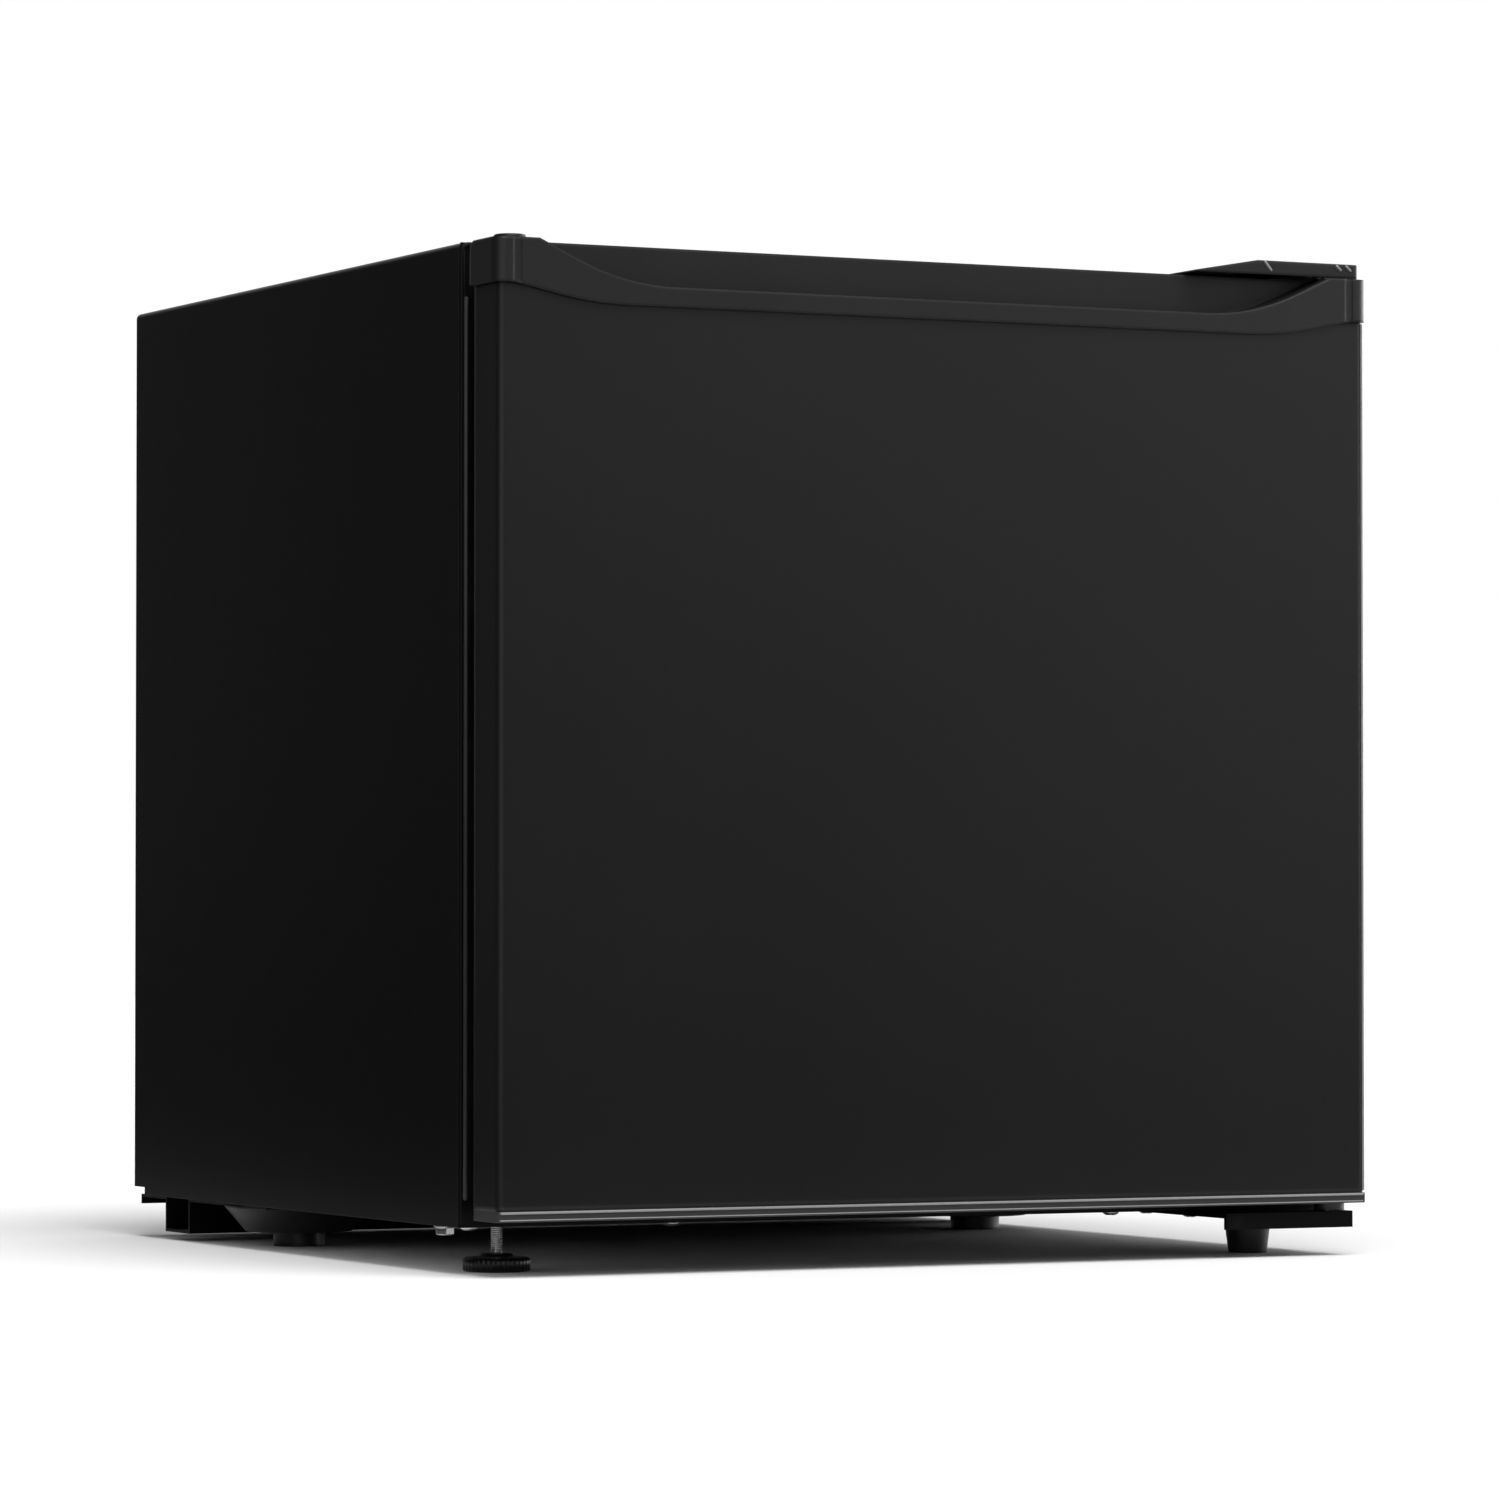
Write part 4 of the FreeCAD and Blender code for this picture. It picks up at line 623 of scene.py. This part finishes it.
def pan_head_screw(points):
    """A pan head with a cross recess, on its threaded shank."""
    middle, axis, radius, shank, seat, top = screw_frame(points)
    first = axis.orthogonal().normalized()
    second = axis.cross(first)
    thread = 0.7 * MM
    rows = []
    turns = max(4, int((seat + top) / thread * 2))
    for step in range(turns + 1):
        depth = 0.12 * shank if step % 2 else 0
        rows.append(ring(middle, axis, -top + (seat + top) * step / turns, shank - depth))
    height = top - seat
    rows += [ring(middle, axis, seat, radius * 0.96), ring(middle, axis, seat + height * 0.2, radius)]
    for step in range(1, 17):
        share = step / 17
        reach = radius * math.cos(share * math.pi / 2) ** 0.85
        level = seat + height * (0.2 + 0.8 * math.sin(share * math.pi / 2))
        row = []
        for point in ring(middle, axis, level, reach):
            away = point - middle
            sunk = cross_depth(away.dot(first), away.dot(second), radius * 0.17, radius * 0.62)
            row.append(point - axis * sunk * height * 0.7)
        rows.append(row)
    return skin(rows)


def hex_head_bolt(points):
    """A flanged hexagon head on a plain shank."""
    middle, axis, radius, shank, seat, top = screw_frame(points)
    height = top - seat
    flange = [(shank, -top), (shank, seat), (radius * 0.97, seat), (radius, seat + height * 0.1),
              (radius * 0.97, seat + height * 0.22), (radius * 0.8, seat + height * 0.28)]
    flats = hexagon(radius * 0.68)
    rows = [ring(middle, axis, level, reach) for reach, level in flange]
    rows += [ring(middle, axis, seat + height * 0.3, flats), ring(middle, axis, seat + height * 0.9, flats),
             ring(middle, axis, top, radius * 0.6), ring(middle, axis, top - height * 0.06, radius * 0.35)]
    return skin(rows)


def dress_screws():
    """Detailed screws and bolts stand for the plain ones, each where its plain one is."""
    for node, maker in (("base_screws", pan_head_screw), ("top_hinge_screws", pan_head_screw),
                        ("compressor_bolts", hex_head_bolt)):
        points, faces = merge([maker(solid) for solid in separate_solids(node)])
        add_piece(node + "_detail", points, faces, NODES[node]["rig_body"], "zinc_steel", node, sharp=30)


# ---------------------------------------------------------------- door seal
def smooth_loop(points):
    """A closed outline with its corners cut evenly, twice over."""
    for _ in range(2):
        cut = []
        for here, point in enumerate(points):
            after = points[(here + 1) % len(points)]
            cut.append((point[0] * 0.75 + after[0] * 0.25, point[1] * 0.75 + after[1] * 0.25))
            cut.append((point[0] * 0.25 + after[0] * 0.75, point[1] * 0.25 + after[1] * 0.75))
        points = cut
    return points


def door_seal():
    """The bellows and the magnet sleeve of the seal, mitred at its corners."""
    low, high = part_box("door_gasket")
    width = high.x - min(abs(vertex.co.x) for vertex in NODES["door_gasket"].data.vertices)
    outline = [(0.10, 0.0), (0.10, 0.10), (0.0, 0.18), (0.0, 0.32), (0.14, 0.40), (0.14, 0.48),
               (0.0, 0.56), (0.0, 0.96), (0.05, 1.0), (0.84, 1.0), (0.90, 0.96), (0.90, 0.60),
               (0.74, 0.50), (0.74, 0.42), (0.92, 0.34), (0.92, 0.20), (1.0, 0.12), (1.0, 0.0)]
    outline = smooth_loop(outline)
    rows = []
    for side, level in ((-1, -1), (1, -1), (1, 1), (-1, 1)):
        row = []
        for inward, deep in outline:
            inset = inward * width
            row.append(Vector((side * (high.x - inset), low.y + deep * (high.y - low.y),
                               low.z + inset if level < 0 else high.z - inset)))
        rows.append(row)
    points, faces = skin(rows, wrap=True)
    add_piece("door_seal_bellows", points, faces, "door", "door_seal", "door_gasket", sharp=60)


def seal_fin():
    """The round outer bead of the seal on the handle side, and the dark web that holds it."""
    low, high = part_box("door_gasket")
    bead_radius, half_web, overlap = 1.0 * MM, 0.6 * MM, 1.0 * MM
    foot = Vector((-233.4 * MM, -195.2 * MM, low.z))
    points, faces = bead(foot, foot + Vector((0, 0, high.z - low.z)), bead_radius)
    add_piece("door_seal_fin", points, faces, "door", "door_seal", sharp=60)
    near, far, inner = foot.y - half_web, foot.y + half_web, low.x + overlap
    web = [(inner, near), (inner, far), (foot.x, far), (foot.x, near)]
    points, faces = skin([[Vector((x, y, z)) for x, y in web] for z in (low.z + MM, high.z - MM)])
    add_piece("door_seal_web", points, faces, "door", "door_seal", finish=FINISHES["black_steel"])


# ---------------------------------------------------------------- feet
def foot_thread():
    """The screw thread of the levelling foot."""
    low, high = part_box("levelling_foot_stem")
    centre = Vector(((low.x + high.x) / 2, (low.y + high.y) / 2, low.z))
    radius, length = (high.x - low.x) / 2, high.z - low.z
    pitch, depth = 1.0 * MM, 0.5 * MM
    steps = int(length / pitch * 6)
    rows = []
    for step in range(steps + 1):
        level = length * step / steps

        def crest(angle, level=level):
            place = (level / pitch - angle / TURN) % 1
            return radius - depth * (1 - abs(2 * place - 1))

        rows.append(ring(centre, UP, level, crest, 36))
    points, faces = skin(rows)
    add_piece("levelling_foot_thread", points, faces, "levelling_foot", "zinc_steel",
              "levelling_foot_stem", sharp=25)


def foot_pad():
    """The turned pad with a gripping rim and a collar for the stem."""
    low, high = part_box("levelling_foot_pad")
    centre = Vector(((low.x + high.x) / 2, (low.y + high.y) / 2, low.z))
    radius, height = (high.x - low.x) / 2, high.z - low.z
    notches = 36

    def grip(share):
        return lambda angle: radius * (share - 0.022 * (0.5 + 0.5 * math.cos(notches * angle)) ** 3)

    profile = [(radius * 0.2, 0.04), (radius * 0.72, 0.04), (radius * 0.76, 0.0), (radius * 0.93, 0.0),
               (grip(0.975), 0.05), (grip(1.0), 0.12), (grip(1.0), 0.60), (grip(0.985), 0.70),
               (radius * 0.93, 0.78), (radius * 0.84, 0.80), (radius * 0.60, 0.82),
               (radius * 0.50, 0.86), (radius * 0.46, 0.96), (radius * 0.42, 1.0), (radius * 0.2, 1.0)]
    rows = [ring(centre, UP, level * height, reach, notches * 6) for reach, level in profile]
    points, faces = skin(rows)
    add_piece("levelling_foot_rim", points, faces, "levelling_foot", "black_plastic",
              "levelling_foot_pad", sharp=40, finish=hard_pad())


# ---------------------------------------------------------------- thermostat dial
def dial_frame():
    """The dial's seat, its axis towards the door, its radius and its length."""
    low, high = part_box("thermostat_dial")
    centre = Vector(((low.x + high.x) / 2, high.y, (low.z + high.z) / 2))
    return centre, Vector((0, -1, 0)), (high.x - low.x) / 2, high.y - low.y


def dial_knob():
    """A fluted knob with a shallow dished face."""
    centre, axis, radius, length = dial_frame()
    flutes = 24

    def fluted(share):
        return lambda angle: radius * (share - 0.05 * (0.5 + 0.5 * math.cos(flutes * angle)) ** 2)

    profile = [(radius * 0.5, 0.0), (radius * 0.98, 0.0), (radius, 0.03), (radius, 0.12),
               (fluted(0.985), 0.17), (fluted(0.96), 0.88), (fluted(0.94), 0.95),
               (radius * 0.86, 1.0), (radius * 0.80, 0.985), (radius * 0.40, 0.96), (radius * 0.1, 0.955)]
    rows = [ring(centre, axis, level * length, reach, flutes * 8) for reach, level in profile]
    points, faces = skin(rows)
    add_piece("dial_knob", points, faces, "thermostat_dial", "white_plastic", "thermostat_dial",
              sharp=40)


def dial_numbers():
    """Plain numbers from 0 to 7 on the knob's face, spread over the dial's turn."""
    centre, axis, radius, length = dial_frame()
    ink, last, span = dial_ink(), 7, 300
    for number in range(last + 1):
        angle = math.radians(span * (number / last - 0.5))
        text = bpy.data.curves.new(f"dial_number_{number}", "FONT")
        text.body = str(number)
        text.size = radius * 0.30
        text.align_x = "CENTER"
        text.align_y = "CENTER"
        text.extrude = 0.00008
        text.materials.append(ink)
        mark = bpy.data.objects.new(f"dial_number_{number}", text)
        bpy.context.scene.collection.objects.link(mark)
        reach = radius * 0.60
        mark.location = centre + axis * length * 0.972 + Vector((math.sin(angle), 0, math.cos(angle))) * reach
        mark.rotation_euler = (math.pi / 2, 0, 0)
        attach(mark, "thermostat_dial")


# ---------------------------------------------------------------- edges of the sheet steel
def shell_hem():
    """The rolled front edge of the outer shell, up one side, over the top and down the other."""
    low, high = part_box("outer_shell")
    radius = 1.5 * MM
    inset = radius - 0.2 * MM
    corner = 3 * MM
    left, top = high.x - inset, high.z - inset
    route = [(-left, low.z + 2 * MM), (-left, top - corner)]
    route += [(-left + corner * (1 - math.cos(turn)), top - corner * (1 - math.sin(turn)))
              for turn in (math.pi / 8, math.pi / 4, 3 * math.pi / 8)]
    route += [(-left + corner, top)]
    route += [(-across, level) for across, level in reversed(route)]
    rows = []
    for here, (across, level) in enumerate(route):
        before = Vector(route[max(here - 1, 0)])
        after = Vector(route[min(here + 1, len(route) - 1)])
        way = (after - before).normalized()
        out = Vector((-way.y, 0, way.x))
        spot = Vector((across, low.y, level))
        rows.append([spot + radius * (out * math.cos(TURN * step / 16)
                                      + Vector((0, -1, 0)) * math.sin(TURN * step / 16))
                     for step in range(16)])
    points, faces = skin(rows)
    add_piece("shell_hem", points, faces, "cabinet", "black_painted_steel", sharp=60)


def bottom_trim():
    """The strip under the door, with its lower edges rounded, and the two light grey beads on its face, which
    are painted highlight lines.
    """
    low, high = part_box("door_bottom_cap")
    corner = 0.8 * MM
    outline = [(high.y, low.z)]
    outline += [(low.y + corner * (1 - math.sin(turn)), low.z + corner * (1 - math.cos(turn)))
                for turn in (0, math.pi / 8, math.pi / 4, 3 * math.pi / 8, math.pi / 2)]
    outline += [(low.y, high.z), (high.y, high.z)]
    rows = [[Vector((across, y, z)) for y, z in outline] for across in (low.x, high.x)]
    points, faces = skin(rows)
    add_piece("door_bottom_trim", points, faces, "door", "black_plastic", "door_bottom_cap",
              finish=dark_strip())
    beads = []
    for radius, level in ((0.60 * MM, high.z - 0.7 * MM), (0.28 * MM, low.z + 1.0 * MM)):
        start = Vector((low.x + MM, low.y - 0.4 * radius, level))
        beads.append(bead(start, start + Vector((high.x - low.x - 2 * MM, 0, 0)), radius))
    points, faces = merge(beads)
    # the beads take the light grey finish: painted highlights along the strip's edges
    add_piece("bottom_trim_highlight_beads", points, faces, "door", "black_plastic", finish=PAINTED_HIGHLIGHT_LINE)


def door_edge_fold():
    """A fine light grey bead along the hinge-side edge of the door's steel face: a painted highlight on that
    edge.
    """
    low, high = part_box("door_panel")
    foot = Vector((high.x - 0.7 * MM, low.y + 0.5 * MM, low.z + MM))
    points, faces = bead(foot, Vector((foot.x, foot.y, high.z - MM)), 0.65 * MM)
    # light grey bead: painted highlight along the door's edge
    add_piece("door_edge_fold", points, faces, "door", "door_painted_steel", finish=PAINTED_HIGHLIGHT_LINE)


def hood_ribs():
    """Three small slanted ribs on the front of the hinge hood, light grey: painted highlights."""
    low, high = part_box("hinge_cover")
    top = max(vertex.co.z for vertex in NODES["hinge_cover"].data.vertices
              if vertex.co.y < low.y + 0.5 * MM)
    ribs = []
    for first, second, start, end in ((38, 42, 0.95, 0.25), (79, 82, 0.90, 0.50), (84.5, 87.5, 0.90, 0.50)):
        ends = [Vector((low.x + place * MM, low.y, low.z + (top - low.z) * share))
                for place, share in ((first, start), (second, end))]
        ribs.append(bead(ends[0], ends[1], 0.7 * MM))
    points, faces = merge(ribs)
    # light grey ribs: painted highlights on the hood
    add_piece("hood_ribs", points, faces, "cabinet", "black_plastic", finish=PAINTED_HIGHLIGHT_LINE)


def rail_screw():
    """A plated hexagon screw under the front rail, beside the levelling foot."""
    low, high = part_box("front_rail")
    radius, height = 5.0 * MM, 5.0 * MM
    centre = Vector((low.x + 8 * MM, high.y - 5 * MM, low.z))
    flats = hexagon(radius * 0.8)
    rows = [ring(centre, -UP, level * height, reach) for reach, level in
            ((radius, 0.0), (radius, 0.22), (radius * 0.86, 0.3), (flats, 0.32), (flats, 0.9),
             (radius * 0.7, 1.0), (radius * 0.3, 0.96))]
    points, faces = skin(rows)
    add_piece("rail_screw", points, faces, "cabinet", "zinc_steel", sharp=30)


# ---------------------------------------------------------------- the scene
make_camera()
make_world()
make_floor()
make_flag()
make_cards()
make_lamp()
paint_nodes()
shell_hem()
door_edge_fold()
bottom_trim()
hood_ribs()
rail_screw()
dress_screws()
door_seal()
seal_fin()
foot_thread()
foot_pad()
dial_knob()
dial_numbers()
bpy.context.scene.view_settings.view_transform = "Standard"
